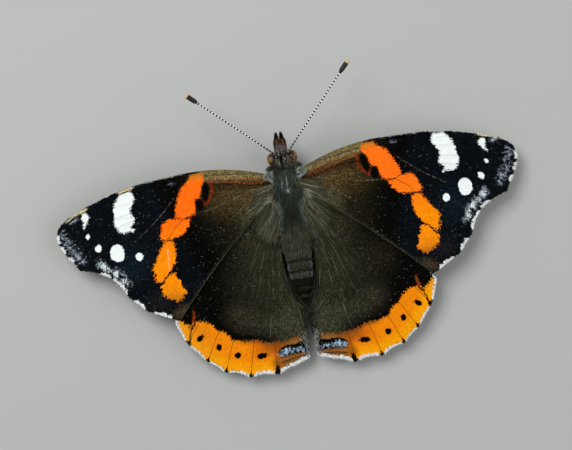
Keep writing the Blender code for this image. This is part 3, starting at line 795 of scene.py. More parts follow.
def fore_top(flat, edge, vein, fan, side):
    """Ground and band colours and mark depths of the fore wing's upper side."""
    hem = smooth_step(fan, 11.9, 11.97) * smooth_step(flat[..., 0], 7.0, 12.0)
    rim = fringe_rim("forewing", edge, fan, 0.48, 0.1)
    scratch = line(flat, FORE_SCRATCH, 0.08, 0.1) * (0.75 if side == "left" else 0.0)
    flat = read_marks(flat, side)
    x, y = flat[..., 0], flat[..., 1]
    warmth = 0.35 if side == "right" else 0.0
    band = lay(
        flood((253, 106, 15), x),
        (smooth_step(8.5 - y, 0.0, 8.0), (252, 140, 6)),
        (smooth_step(-y, 1.0, 4.0) * 0.85, (226, 132, 14)),
        (smooth_step(-y, 3.0, 4.8) * 0.8, (166, 94, 22)),
        (smooth_step(y, 1.0, 4.0) * warmth, (255, 122, 30)),
        (smooth_step(y, 11.9, 12.8) * 0.9, (204, 124, 34)),
        (scratch, (255, 184, 128)),
    )
    white = deepest(polygon_depth(flat, FORE_BAR) - 0.12, polygon_depth(flat, FORE_TIP_MARK) - 0.14, rim,
                    polygon_depth(flat, FORE_LARGE_SPOT) * 2.0 - 0.16,
                    *(oval_depth(flat, *spot) * 2.4 - 0.14 for spot in FORE_SPOTS))
    frost = deepest(smooth_step(stroke_depth(flat, FORE_FROST, 1.35), 0.0, 1.2) * 0.48,
                    smooth_step(stroke_depth(flat, FORE_SPECKLE_ROW, 1.2), 0.0, 1.1) * 0.56,
                    *(blob(flat, *patch) * 0.74 for patch in FORE_SPECKLE),
                    blob(flat, (17.2, 12.6), (1.2, 0.5)) * 0.36,
                    blob(flat, (32.0, 10.0), (1.4, 0.6), -20) * 0.55)
    marks = all_marks(
        x,
        orange=deepest(*(polygon_depth(flat, corners) for corners in FORE_BAND)) - 0.1,
        dark=deepest(oval_depth(flat, *FORE_OBLONG), oval_depth(flat, *FORE_KNOB)),
        white=white,
        frost=frost,
        ink=deepest(*(stroke_depth(flat, corners, 0.055) for corners in FORE_INK)),
        thread=deepest(*(stroke_depth(flat, corners, 0.05) for corners in FORE_THREADS)),
    )
    return fore_ground(flat, fan, side, hem), band, marks


def hind_ground(flat, side):
    """Ground colours of the hind wing's upper side."""
    x, y = flat[..., 0], flat[..., 1]
    right = 1.0 if side == "right" else 0.0
    return lay(
        flood((5, 5, 3), x),
        # the olive-brown disc, lighter beside the body and towards the inner corner
        (blob(flat, (5.2, -4.0), (8.8, 10.4), 15), (38, 37, 25)),
        (blob(flat, (6.0, 2.5), (5.5, 4.5)) * 0.35, (66, 62, 42)),
        (smooth_step(6.8 - x, 0.0, 3.5), (42, 44, 29)),
        (blob(flat, (4.0, -11.4), (6.5, 3.6), 12) * 0.45, (68, 68, 52)),
        (blob(flat, (12.0, -3.5), (4.5, 5.0)) * 0.5 * right, (36, 31, 20)),
        (blob(flat, (9.6, -9.6), (4.4, 3.2), 25) * 0.45, (62, 58, 42)),
        # grey beside the slit, and the rust streak at the outer corner
        (smooth_step(3.0 - x, 0.0, 1.6) * smooth_step(-y, 9.0, 13.0), (64, 62, 44)),
        (smooth_step(1.3 - x, 0.0, 0.5) * smooth_step(-y, 11.8, 13.2), (86, 90, 86)),
        (line(flat, HIND_RUST, 0.16, 0.15) * 0.8, (150, 60, 14)),
    )


def hind_band(flat, edge, orange, side):
    """Colours of the hind wing's orange margin, browner towards the inner corner."""
    x, y = flat[..., 0], flat[..., 1]
    left = 0.3 if side == "left" else 0.0
    shadow = smooth_step(0.9 - orange, 0.0, 0.8) * smooth_step(12.0 - x, 0.0, 3.0)
    return lay(
        flood((238, 134, 8), x),
        (smooth_step(-edge, -2.6, -0.9), (244, 158, 6)),
        (smooth_step(10.6 - x, 0.0, 3.2) * smooth_step(y, -16.8, -14.6) * 0.85, (196, 94, 12)),
        (smooth_step(8.2 - x, 0.0, 1.6) * smooth_step(y, -16.2, -14.2) * 0.8, (140, 76, 22)),
        (smooth_step(6.6 - x, 0.0, 1.2) * 0.8, (150, 78, 18)),
        (smooth_step(5.6 - x, 0.0, 1.2) * smooth_step(-y, 15.6, 16.1), (132, 90, 42)),
        (smooth_step(4.9 - x, 0.0, 1.6) * smooth_step(y, -14.9, -14.2), (140, 100, 46)),
        (smooth_step(x, 13.0, 17.0) * left, (206, 124, 30)),
        (blob(flat, (5.9, -17.2), (1.2, 1.3)) * 0.6, (120, 66, 20)),
        (line(flat, HIND_THIN_LINE, 0.1), (20, 14, 8)),
        (line(flat, HIND_BROWN_LINE, 0.12), (104, 62, 20)),
        (blob(flat, (19.3, -9.2), (0.8, 1.2)) * 0.6, (222, 150, 60)),
        (shadow * smooth_step(y, -16.2, -15.2) * 0.8, (108, 62, 22)),
    )


def hind_top(flat, edge, vein, fan, side):
    """Ground and band colours and mark depths of the hind wing's upper side."""
    if side == "right":
        flat = flat + HIND_RIGHT_SHIFT
    x, y = flat[..., 0], flat[..., 1]
    orange = deepest(polygon_depth(flat, HIND_INNER_EDGE + HIND_OUTSIDE), polygon_depth(flat, HIND_CORNER))
    vein_end = np.where(fan < 7.5, 0.4 - vein * 1.7 - np.clip(edge - 0.3, 0.0, None) * 0.6, NO_MARK)
    thick = 0.29 + 0.27 * smooth_step(fan, 3.8, 6.2)
    marks = all_marks(
        x,
        orange=np.minimum(orange - 0.1, edge - 0.14),
        dark=deepest(polygon_depth(flat, HIND_EYE_BAR), stroke_depth(flat, HIND_DARK_VEIN, 0.11), vein_end,
                     oval_depth(flat, (5.85, -18.15), (0.35, 0.9), 12),
                     *(oval_depth(flat, *spot) * 1.4 for spot in HIND_SPOTS)),
        white=fringe_rim("hindwing", edge, fan, thick, 0.12),
        frost=smooth_step(1.5 - x, 0.0, 0.6) * smooth_step(-y, 12.0, 13.5) * 0.42,
        ink=np.where((fan > 1.5) & (fan < 6.5), 0.05 - vein, NO_MARK),
        blue=deepest(*(oval_depth(flat, *spot) for spot in HIND_BLUE)),
    )
    return hind_ground(flat, side), hind_band(flat, edge, orange, side), marks


def fore_under(flat, edge, vein, fan, side):
    """The fore wing from below: the same band and marks, paler, on brown, with a marbled tip."""
    ground, band, marks = fore_top(flat, edge, vein, fan, side)
    x, y = flat[..., 0], flat[..., 1]
    ground = ground * 0.4 + colour(52, 44, 38) * 0.6
    tip = smooth_step(x + y * 0.5, 32.0, 35.0)[..., None]
    ground = ground * (1 - tip) + colour(112, 96, 78) * tip
    band = band * 0.3 + colour(226, 92, 70) * 0.7
    return ground, band, dict(marks, blue=oval_depth(flat, (21.5, 9.6), (0.5, 1.6), 10))


def hind_under(flat, edge, vein, fan, side):
    """The hind wing from below: bark-coloured marbling with faint eye spots and a pale margin."""
    x, y = flat[..., 0], flat[..., 1]
    radius = np.hypot(x - 2, y - 4)
    ripple = 0.5 + 0.5 * np.sin(radius * 1.7 + 1.3 * np.sin(x * 0.9) + np.cos(y * 1.1))
    bark, light_bark = colour(46, 37, 32), colour(112, 94, 76)
    ground = lay(
        bark + (light_bark - bark) * ripple[..., None] ** 2,
        (blob(flat, (15.5, -6.5), (2.4, 1.8)), (168, 150, 122)),
        (smooth_step(-edge, -2.2, -0.6) * 0.6, (128, 112, 100)),
    )
    dark = deepest(*(oval_depth(flat, centre, (0.5, 0.5)) for centre, _, _ in HIND_SPOTS))
    return ground, ground, all_marks(x, dark=dark, frost=np.full(x.shape, 0.12))


# Every painter takes the plan, the distances to the margin and to the nearest vein, the fan and the
# side, and gives ground colours, band colours and marks.
UPPER = {"forewing": fore_top, "hindwing": hind_top}
LOWER = {"forewing": fore_under, "hindwing": hind_under}


SCALES_PER_MM = 8.5
TEETH_PER_MM = 6.2            # how finely the marks' edges are frayed
STREAKS_PER_MM = 7.0
PATCHES_PER_MM = 1.3
CRISP = 0.03                  # softness of a mark's edge, in millimetres


def finish_wing():
    """Velvet of tiny overlapping scales: ground and band colours come from the wing's own attributes,
    the marks' edges are frayed scale by scale, and each scale has its own shade."""
    finish = Finish("wing_scales", 0.75, Specular_IOR_Level=0.02)
    scale_tone = finish.cells(SCALES_PER_MM, "Color")
    tone = finish.node("ShaderNodeSeparateColor", None, {0: scale_tone})
    second = finish.node("ShaderNodeSeparateColor", None, {0: scale_tone}, output=1)
    across, along, ground, strength = (finish.attribute("across"), finish.attribute("along"),
                                       finish.tint("ground"), finish.attribute("frost"))

    def drawn_out(per_mm, detail, stretch):
        return finish.noise(per_mm, detail, finish.vector(across, along * stretch, 0.0))

    teeth = drawn_out(TEETH_PER_MM, 2.0, 0.22)
    streak = drawn_out(STREAKS_PER_MM, 2.0, 0.1)
    wisps = drawn_out(3.2, 3.0, 0.4)
    patches = finish.noise(PATCHES_PER_MM, 3.0)
    fray = (tone - 0.5) * 0.34 + (teeth - 0.5) * 1.15

    # ground: each scale its own tone, some much lighter, a few pale specks, and thread-like creases
    grain = 0.35 + tone * tone * 1.35 + (streak - 0.5) * 1.0 + (patches - 0.5) * 0.4
    shade = finish.scaled(ground, grain)
    shade = finish.mix(second.above(0.8, 0.06) * 0.55, shade, finish.scaled(ground, 2.6))
    speck = tone.above(0.982, 0.006) * finish.noise(0.5, 2.0).above(0.5, 0.16)
    shade = finish.mix(speck * 0.34, shade, colour(150, 146, 138))
    thread = (finish.attribute("thread") + (tone - 0.5) * 0.16).above(0.0, CRISP)
    shade = finish.mix(thread * (second - 0.25) * 0.6, shade, colour(150, 140, 120))

    # orange band with inked veins, then the black marks on it
    band_grain = 0.8 + tone * 0.3 + (streak - 0.5) * 0.42 + (patches - 0.5) * 0.16
    band = finish.scaled(finish.tint("band"), band_grain)
    band = finish.mix(second.above(0.93, 0.02) * 0.4, band, colour(206, 96, 30))
    inside = (finish.attribute("orange") + fray).above(0.0, CRISP)
    ink = finish.attribute("ink").above(0.0, CRISP)
    shade = finish.mix(inside, shade, finish.mix(ink * 0.75, band, colour(76, 34, 6)))
    dark = (finish.attribute("dark") + fray * 0.5).above(0.0, 0.035)
    shade = finish.mix(dark, shade, colour(5, 4, 3))

    # frost: scattered pale scales, lilac where it is weak and nearly white where it is strong
    frost = (strength + (second - 0.5) * 0.8 + (wisps - 0.5) * 2.6).above(0.6, 0.24)
    lilac = finish.mix(tone, colour(66, 78, 92), colour(156, 164, 178))
    silver = finish.mix(second, colour(96, 128, 134), colour(236, 244, 240))
    pale = finish.mix(strength.above(0.5, 0.1), lilac, silver)
    shade = finish.mix(frost * strength.above(0.1, 0.06), shade, pale)

    # blue and white marks
    blue = (finish.attribute("blue") + (tone - 0.5) * 0.6 + (wisps - 0.5) * 1.5).above(0.08, 0.07)
    blues = finish.mix(second, colour(104, 132, 162), colour(180, 204, 222))
    shade = finish.mix(blue, shade, blues)
    white = (finish.attribute("white") + fray * 0.8).above(0.0, 0.035)
    veined = (1.0 - finish.attribute("vein").above(0.05, 0.04)) * 0.3
    whites = finish.mix(tone, colour(226, 233, 229), colour(244, 248, 245))
    whites = finish.scaled(whites, 0.96 + (streak - 0.5) * 0.3 - veined)
    finish.paint(finish.mix(white, shade, whites))
    finish.vary("Roughness", 0.66 + tone * 0.22)
    rows = (along * 46.0).sine() * 0.25
    finish.emboss(tone * 0.6 + rows + streak * 0.6, 0.5, 0.03)
    return finish


MEMBRANE_HALF = 0.05
FRINGE_ROOM = {"forewing": (0.0105, 0.012), "hindwing": (0.011, 0.021)}   # shares of the wing's length
PANEL_STEP = 0.21
VEIN_PULL = 0.62              # how strongly the columns of points gather at the veins
ALONG_STEPS = 132
MAP_CORNER = {"forewing": (0.0, -9.0), "hindwing": (0.0, -20.0)}
MAP_SIDE = 36.0


def fringe_room(kind, fan):
    """Share of the wing's length left for the fringe, wider towards its rear veins."""
    ahead, behind = FRINGE_ROOM[kind]
    return ahead + (behind - ahead) * smooth_step(fan, 3.8, 6.2)


def wing_grid(kind):
    """Fan and along for every point: columns gather at the veins, by a sine in each panel."""
    veins = VEINS[kind]
    columns = []
    for index, (vein, following) in enumerate(zip(veins[:-1], veins[1:])):
        width = np.hypot(*(np.array(vein[1]) - np.array(following[1])))
        count = max(8, int(width / PANEL_STEP))
        share = np.arange(count) / count
        columns.append(index + share - VEIN_PULL * np.sin(2 * math.pi * share) / (2 * math.pi))
    columns.append(np.array([len(veins) - 1.0]))
    fan = np.concatenate(columns)
    fan, share = np.meshgrid(fan, np.linspace(0.0, 1.0, ALONG_STEPS), indexing="ij")
    sink = ROOT_SINK[kind]
    return fan, share * (1.0 - fringe_room(kind, fan) + sink) - sink


def margin_distance(kind, flat):
    """How far a point lies from the wing's outer margin."""
    veins = VEINS[kind]
    fan = np.linspace(0.0, len(veins) - 1.0, 160)
    margin = wing_plan(kind, fan, np.ones(fan.shape))
    return -stroke_depth(flat, [tuple(point) for point in margin], 0.0)


def make_wing(kind, side, finish):
    """The wing as one closed thin plate: an upper and a lower grid joined round their rims."""
    fan, along = wing_grid(kind)
    middle, flat = wing_surface(kind, side, fan, along)
    vein = vein_distance(kind, fan, along)
    ridge = VEIN_RIDGE * bell(vein, 0.0, VEIN_RIDGE_WIDTH) * (1 - 0.6 * along)
    half = (MEMBRANE_HALF + ridge)[..., None] * UP
    points, triangles = plate(middle + half, middle - half)
    if SIDES[side] > 0:
        triangles = triangles[:, ::-1]
    edge = margin_distance(kind, flat)
    length = np.hypot(*np.moveaxis(flat - wing_roots(kind).mean(axis=0), -1, 0))
    span = np.hypot(*(np.array(VEINS[kind][0][1]) - np.array(VEINS[kind][-1][1])))
    numbers = {"vein": (vein, vein), "along": (length, length), "across": (fan / fan.max() * span,) * 2}
    ground, band, marks = zip(*(half_side(flat, edge, vein, fan, side)
                                for half_side in (UPPER[kind], LOWER[kind])))
    for mark in MARKS:
        numbers[mark] = (marks[0][mark], marks[1][mark])
    numbers = {key: np.stack(pair) for key, pair in numbers.items()}
    tints = {"ground": np.stack(ground), "band": np.stack(band)}
    name = "_".join((kind, side))
    wing = make_mesh(name + "_scales", points, triangles, finish, numbers, tints)
    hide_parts(name)


def finish_coat(name, roughness):
    """Hair that takes its colour from its own tufts."""
    finish = Finish(name, roughness, Specular_IOR_Level=0.12)
    finish.paint(finish.scaled(finish.tint("tint"), 0.85 + finish.noise(3.0) * 0.3))
    return finish


def unwrap_wing(kind, flat):
    """The wing's own plan, fitted into the unit square."""
    return (flat - MAP_CORNER[kind]) / MAP_SIDE


def fringe_white(kind, fan):
    """1 where the fringe is white, 0 where it is dark."""
    share = np.zeros(np.shape(fan))
    for low, high in WHITE_FRINGE[kind]:
        after_low = smooth_step(fan, low - 0.04, low + 0.04)
        before_high = smooth_step(-fan, -high - 0.04, 0.04 - high)
        share = np.maximum(share, after_low * before_high)
    return share


FRINGE_START = {"forewing": 3.4, "hindwing": 0.5}      # vein where the fringe begins
FRINGE_STEP = 0.015


def make_fringe(kind, side, finish, draw):
    """Flat hair-scales of uneven length along the margin: white between the veins and black at their
    ends."""
    dense = np.linspace(0.0, len(VEINS[kind]) - 1.0, 900)
    margin = wing_surface(kind, side, dense, 1.0 - fringe_room(kind, dense))[0]
    steps = np.concatenate([[0.0], np.cumsum(np.linalg.norm(np.diff(margin, axis=0), axis=1))])
    fan = np.interp(draw.uniform(0.0, steps[-1], int(steps[-1] / FRINGE_STEP)), steps, dense)
    fan = fan[fan > FRINGE_START[kind]]
    depth = fringe_room(kind, fan) * draw.uniform(1.1, 1.9, fan.shape)
    roots, flat = wing_surface(kind, side, fan, 1.0 - depth)
    outer, _ = wing_surface(kind, side, fan, np.full(fan.shape, 1.0))
    lie = unit(outer - roots) + draw.normal(0.0, 0.14, roots.shape)
    clump = locks(fan, fan * 4.0)
    uneven = 0.62 + 0.42 * clump + draw.uniform(-0.12, 0.12, len(fan))
    length = np.linalg.norm(outer - roots, axis=1) * uneven
    notch = 0.75 * smooth_step(-clump, -0.22, -0.06)
    white = fringe_white(kind, fan) - notch + draw.normal(0.0, 0.16, fan.shape) > 0.5
    tints = np.where(white[:, None], colour(250, 251, 248), colour(14, 13, 12))
    tints = tints * draw.uniform(0.85, 1.0, (len(fan), 1))
    length = np.where(white, length * 1.15, length * 0.82)
    width = draw.uniform(0.08, 0.14, len(fan))
    grow("_".join((kind, side, "fringe")), finish, roots, lie, UP, length, width, tints,
         unwrap_wing(kind, flat), rise=0.05, taper=SCALE_TAPER, root_painted_shade=0.92)


def behind_fore_wing(side, x, y):
    """How far a place lies behind the trailing edge of this side's fore wing."""
    along = np.linspace(0.0, 1.0, 80)
    edge, _ = wing_surface("forewing", side, np.full(along.shape, len(FORE_VEINS) - 1.0), along)
    return np.interp(x, np.abs(edge[:, 0]), edge[:, 1]) - y


def wave(roots):
    """A slow ripple over the wing, so that neighbouring hairs lean the same way in locks."""
    x, y = np.abs(roots[:, 0]), roots[:, 1]
    return np.sin(x * 3.1 + np.sin(y * 0.9) * 2.2) * 0.5 + np.sin(x * 7.3 - y * 1.1) * 0.3


def locks(place, across):
    """Strands: a share from 0 to 1 that changes quickly from hair to hair and slowly along them."""
    slow = np.sin(place * 2.1 + np.sin(place * 0.7) * 2.0)
    return 0.5 + 0.28 * np.sin(across * 11.0 + slow) + 0.22 * np.sin(across * 27.0 - slow * 1.7)


def lock_tone(draw, strand, spread, sway, shift):
    """How light each hair is, from 0 to 1: partly its own, partly its strand's."""
    return np.clip(draw.uniform(0.0, 1.0, strand.shape) * spread + strand * sway - shift, 0.0, 1.0)


def three_tones(shades, tone, full, light):
    """From the dark shade to the middle one as the tone rises, and on to the pale one by light."""
    dark, middle, pale = (colour(*shade) for shade in shades)
    return dark + (middle - dark) * smooth_step(tone, 0.1, full) + (pale - middle) * light


WING_HAIR_SHADES = ((12, 12, 8), (76, 78, 54), (156, 154, 130))
ROOT_HAIR_SHADES = ((28, 27, 19), (110, 109, 85), (196, 192, 168))

# Hairs on each wing: how many, shortest and longest.
WING_HAIR = {"forewing": (3200, 0.9, 2.4), "hindwing": (11500, 2.0, 6.0)}


def make_wing_hair(kind, side, finish, draw):
    """Long hairs that stream from the wing's root along its veins, thinning out on the disc."""
    hind = kind == "hindwing"
    count, shortest, longest = WING_HAIR[kind]
    last = len(VEINS[kind]) - 1.0
    spread = draw.uniform(0.0, 1.0, count)
    if hind:
        fan = last * (1 - spread ** 1.35 * 0.62)
        along = draw.uniform(0.0, 1.0, count) ** 0.85 * (0.86 - 0.38 * smooth_step(-fan, -6.8, -4.4))
    else:
        fan = last * (0.5 + 0.5 * spread ** 0.8)
        along = draw.uniform(0.0, 1.0, count) ** 1.3 * 0.26
    roots, flat = wing_surface(kind, side, fan, along)
    ahead, _ = wing_surface(kind, side, fan, along + 0.02)
    roots = roots + UP * MEMBRANE_HALF * 0.7
    lie = unit(ahead - roots) + draw.normal(0.0, 0.025, roots.shape)
    if hind:
        lean = smooth_step(fan, last - 1.1, last - 0.1) * bell(roots[:, 1], -6.2, 3.0)
        lie = lie + lean[:, None] * np.array([-0.42 * SIDES[side], 0.0, 0.1])
    length = draw.uniform(shortest, longest, count) * (1.0 - 0.72 * along)
    tone = lock_tone(draw, locks(flat[:, 1], fan * 1.9), 0.55, 0.8, 0.17)[:, None]
    x, y = flat[:, :1], flat[:, 1:]
    light = smooth_step(tone, 0.8, 1.0) * smooth_step(-x, -8.0, -4.0)
    tints = three_tones(WING_HAIR_SHADES, tone, 0.8, light)
    brown = smooth_step(x, 5.0, 9.0) * 0.6
    tints = tints * (1 - brown) + colour(50, 38, 20) * tone * 1.4 * brown
    keep = np.ones(count, dtype=bool)
    if hind:
        tints = tints * (1 + 0.7 * bell(y, -11.0, 3.0) * smooth_step(x, 2.0, 4.0))
        # painted shade: hairs leaning in beside the abdomen's rear and along its flank are darkened
        tints = tints * (1 - 0.7 * lean[:, None])
        beside = bell(np.abs(roots[:, :1]), 3.0, 1.2) * bell(roots[:, 1:2], -4.0, 6.0)
        tints = tints * (1 - 0.22 * beside)
        keep = behind_fore_wing(side, np.abs(roots[:, 0]), roots[:, 1]) > 0.1
    width = draw.uniform(0.035, 0.06, count) * (1 + 0.4 * light[:, 0])
    sweep = (wave(roots) * 0.11 + draw.normal(0.0, 0.03, count)) * SIDES[side]
    grow("_".join((kind, side, "hair")), finish, roots[keep], lie[keep], UP, length[keep],
         width[keep], tints[keep], unwrap_wing(kind, flat)[keep], rise=0.06, sweep=sweep[keep],
         root_painted_shade=0.45)


SLIT_HAIR_COUNT = 900
SLIT_PALE_SHARE = {"left": 0.4, "right": 0.55}


def make_slit_hair(side, finish, draw):
    """Short pale grey and black hair-scales along the hind wing's inner edge, beside the slit."""
    count = SLIT_HAIR_COUNT
    along = draw.uniform(0.66, 0.985, count)
    fan = len(HIND_VEINS) - 1.0 - draw.uniform(0.0, 1.0, count) ** 2 * 1.3
    roots, flat = wing_surface("hindwing", side, fan, along)
    roots = roots + UP * MEMBRANE_HALF * 0.7
    inward = -SIDES[side] * draw.normal(0.15, 0.25, count)
    lie = np.stack([inward, np.full(count, -1.0), draw.normal(0.05, 0.08, count)], axis=1)
    pale = draw.uniform(0.0, 1.0, count) < SLIT_PALE_SHARE[side] * smooth_step(along, 0.76, 0.86)
    tints = np.where(pale[:, None], colour(236, 238, 232), colour(22, 21, 17))
    tints = tints * draw.uniform(0.4, 1.0, (count, 1))
    length = draw.uniform(0.2, 0.42, count)
    grow("hindwing_%s_slit_hair" % side, finish, roots, lie, UP, length, 0.05, tints,
         unwrap_wing("hindwing", flat), rise=0.1, root_painted_shade=0.8)


ROOT_HAIR_COUNT = 5700
CREASE = (3.3, 5.85)          # where a pale streak across the roots starts, with a dark one behind it
CREASE_SHARE = 0.022
VEIL_SHARE = 0.13


def hind_drop(side, x, y):
    """How far the top lies below the fore wing's sheet: down to the hind wing behind its edge."""
    return BELOW["hindwing"] * smooth_step(behind_fore_wing(side, x, y), -0.1, 0.5)


def make_root_hair(side, finish, draw):
    """Long hair from the thorax's flank that fans out over the roots of both wings: from pointing
    straight out at the front to nearly straight back at the waist. A fluffy pale tuft stands above
    the roots, a crease crosses behind it, and a veil closes the step from the fore wing's trailing
    edge down to the hind wing."""
    sign = SIDES[side]
    count = ROOT_HAIR_COUNT
    share = draw.uniform(0.0, 1.0, count)
    swell = np.sin(share * math.pi)
    y = 9.7 - 6.3 * share
    x = 1.55 + 0.65 * swell + draw.uniform(-0.25, 0.45, count)
    z = 6.45 - 0.75 * share ** 1.5 + draw.uniform(-0.1, 0.12, count)
    turn = np.radians(-(14 + 60 * share ** 0.7) + draw.normal(0.0, 6.0, count))
    length = 1.2 + 5.2 * draw.uniform(0.0, 1.0, count) ** 1.5 * (0.5 + 0.5 * swell)
    tone = lock_tone(draw, locks(y, turn * 6), 0.7, 0.6, 0.15)[:, None]
    tints = three_tones(ROOT_HAIR_SHADES, tone, 0.75, smooth_step(tone, 0.8, 1.0))

    # the fluffy tuft above the roots, with a few rust hairs ahead of it
    fluff = bell(y, 7.5, 0.75) > draw.uniform(0.25, 1.0, count)
    length = np.where(fluff, draw.uniform(0.6, 1.7, count), length)
    turn = np.where(fluff, turn + draw.normal(0.0, 0.5, count), turn)
    cream = colour(214, 208, 182) * (0.08 + 1.4 * locks(y * 2, x * 2 + y)[:, None] ** 2)
    tints = np.where(fluff[:, None], cream, tints)
    rust = (np.abs(y - 8.5) < 0.35) & (draw.uniform(0.0, 1.0, count) < 0.6)
    tints = np.where(rust[:, None], colour(138, 92, 40) * (0.4 + 0.8 * tone), tints)
    length = np.where(rust, draw.uniform(0.5, 1.1, count), length)

    # the crease: two short rows, pale in front and dark behind, the dark one painted shade in the fold
    crease = draw.uniform(0.0, 1.0, count) < CREASE_SHARE
    back = draw.integers(0, 2, count) * 0.2
    x = np.where(crease, CREASE[0] + draw.uniform(0.0, 1.0, count), x)
    y = np.where(crease, CREASE[1] - back + draw.normal(0.0, 0.06, count), y)
    z = np.where(crease, sheet_height(x, y) - hind_drop(side, x, y) + 0.05, z)
    turn = np.where(crease, draw.normal(0.05, 0.12, count), turn)
    length = np.where(crease, draw.uniform(0.5, 0.9, count), length)
    # the dark row is painted shade, where the hair folds down into the crease
    streak = np.where(back[:, None] > 0, colour(8, 7, 6), colour(128, 124, 104))
    tints = np.where(crease[:, None], streak, tints)

    # the veil under the fore wing's trailing edge
    veil = (draw.uniform(0.0, 1.0, count) < VEIL_SHARE) & ~crease
    x = np.where(veil, draw.uniform(3.3, 8.8, count), x)
    y = np.where(veil, behind_fore_wing(side, x, 0.0) + draw.uniform(0.03, 0.3, count), y)
    z = np.where(veil, sheet_height(x, y) - 0.02, z)
    turn = np.where(veil, -1.25 + draw.normal(0.0, 0.2, count), turn)
    length = np.where(veil, draw.uniform(0.55, 0.95, count), length)
    tints = np.where(veil[:, None], colour(84, 80, 60) * (0.3 + 0.8 * tone), tints)

    end_x = x + np.cos(turn) * length
    end_y = y + np.sin(turn) * length
    end_z = sheet_height(end_x, end_y) - hind_drop(side, end_x, end_y) + 0.07
    roots = np.stack([x * sign, y, z], axis=1)
    lie = np.stack([end_x * sign, end_y, end_z], axis=1) - roots
    sweep = (wave(roots) * 0.08 + draw.normal(0.0, 0.04, count)) * sign
    unwrap = np.stack([(share + 1) / 3, np.clip(length / 6, 0, 1)], axis=1)
    width = draw.uniform(0.035, 0.06, count)
    grow("root_hair_" + side, finish, roots, lie, UP, np.linalg.norm(lie, axis=1), width,
         tints, unwrap, rise=np.where(fluff, 0.3, 0.06), sweep=sweep)


FOLD_ENDS = (3.2, -10.1)      # along the body, and round it in degrees
FOLD_TURN = (8.0, -82.0)


def make_fold(side, finish):
    """The hind wing's inner flap, folded down round the abdomen: an arc of an ellipse a gap away
    from it, from the wing's edge to underneath, closing up behind the tip."""
    sign = SIDES[side]
    turns = np.radians(np.linspace(*FOLD_TURN, 30))
    y, turn = np.meshgrid(np.linspace(*FOLD_ENDS, 110), turns, indexing="ij")
    wide = np.maximum(abdomen_radius(y) + ROOT_GAP, 0.32)
    top = sheet_height(wide, y) - BELOW["hindwing"] + MEMBRANE_SHIFT["hindwing"]
    faces = []
    for half in (MEMBRANE_HALF, -MEMBRANE_HALF):
        x, z = (wide + half) * np.cos(turn) * sign, top + (wide + half) * 1.05 * np.sin(turn)
        faces.append(np.stack([x, y, z], axis=-1))
    points, triangles = plate(*faces)
    if sign > 0:
        triangles = triangles[:, ::-1]
    # its nearly black finish is painted shade, so that the gap beside the abdomen looks dark
    make_mesh("hindwing_%s_fold" % side, points, triangles, finish)


# Body

COAT_DEPTH = 0.16
BLEND = 0.3                   # how softly head, thorax and abdomen flow into each other
GROOVE_DEPTH = 0.2
GROOVE_WIDTH = 0.13
SEGMENT_SWELL = 0.07


def smooth_max(first, second, softness):
    """The larger of two sizes, rounded where they meet by half of sqrt(difference^2 + softness^2)."""
    return 0.5 * (first + second + np.sqrt((first - second) ** 2 + softness ** 2))


def head_radius(y):
    """An ellipse ahead of the head's middle and a slightly narrowed one behind it."""
    middle = HEAD_REAR + (HEAD_FRONT - HEAD_REAR) * 0.45
    ahead = (y - middle) / (HEAD_FRONT + 0.12 - middle)
    behind = (y - middle) / (HEAD_REAR - middle)
    falloff = np.where(y > middle, 1 - ahead ** 2, 1 - 0.35 * behind ** 2)
    return HEAD_HALF_WIDTH * np.sqrt(np.clip(falloff, 0.0, 1.0))


# Pads on the thorax's flanks: place along it, half length, angle round it, half angle, push out.
FLANK_PADS = (
    (12.05, 0.5, 28.0, 38.0, 0.85),
    (10.9, 1.0, 36.0, 22.0, 2.0),
    (7.5, 1.6, 34.0, 22.0, 0.8),
)


def flank_push(y, angle):
    """How far the flanks stand out: a bell along the body times a bell round it, for each pad."""
    rise = np.degrees(np.arcsin(np.sin(angle)))
    push = 0.0
    for place, reach, height, spread, depth in FLANK_PADS:
        push = push + depth * np.exp(-((y - place) / reach) ** 2 - ((rise - height) / spread) ** 2)
    return push


def body_ring(y):
    """Half width, half height and middle height of the skin at a place along the body: the larger
    of head, thorax and abdomen, with the coat's depth taken off and the segments cut in."""
    thorax = np.where(y < THORAX_REAR - 1.5, 0.0, thorax_radius(y))
    abdomen = abdomen_radius(y)
    head = head_radius(y)
    grooves = sum(bell(y, place, GROOVE_WIDTH) for place in ABDOMEN_GROOVES)
    swell = sum(np.exp(-((y - place - 0.5) / 0.35) ** 2) for place in ABDOMEN_GROOVES)
    abdomen = abdomen + (SEGMENT_SWELL * swell - GROOVE_DEPTH * grooves) * (abdomen > 0.3)
    coat = COAT_DEPTH - 0.12 * smooth_step(y, 11.9, 12.6)
    tall_head = head * HEAD_HALF_HEIGHT / HEAD_HALF_WIDTH
    rear = smooth_step(y, ABDOMEN_TIP_Y - 0.1, ABDOMEN_TIP_Y + 0.5)
    tip = rear * smooth_step(-y, -HEAD_FRONT - 0.08, -HEAD_FRONT + 0.35)
    halves = []
    for belly, skull in ((abdomen, head), (abdomen * 0.9, tall_head)):
        half = smooth_max(smooth_max(thorax, belly, BLEND), skull, BLEND) - coat - BLEND / 2
        halves.append(np.maximum(half, 0.12) * np.sqrt(np.clip(tip, 0.0004, 1.0)))
    behind = np.clip((THORAX_REAR - y) / (THORAX_REAR - ABDOMEN_TIP_Y), 0.0, None)
    middle = TORSO_Z - 0.15 * smooth_step(behind, 0.0, 0.1) - ABDOMEN_DROOP * behind
    return *halves, middle


def body_point(y, angle):
    """A point of the skin: an ellipse square to the body, angle 0 at its right side, 90 on top, with
    the flanks' pads pushed out sideways."""
    wide, tall, middle = body_ring(y)
    side = np.cos(angle)
    push = flank_push(y, angle) * np.tanh(side * 3)
    return np.stack([wide * side + push, y + 0 * angle, middle + tall * np.sin(angle)], axis=-1)


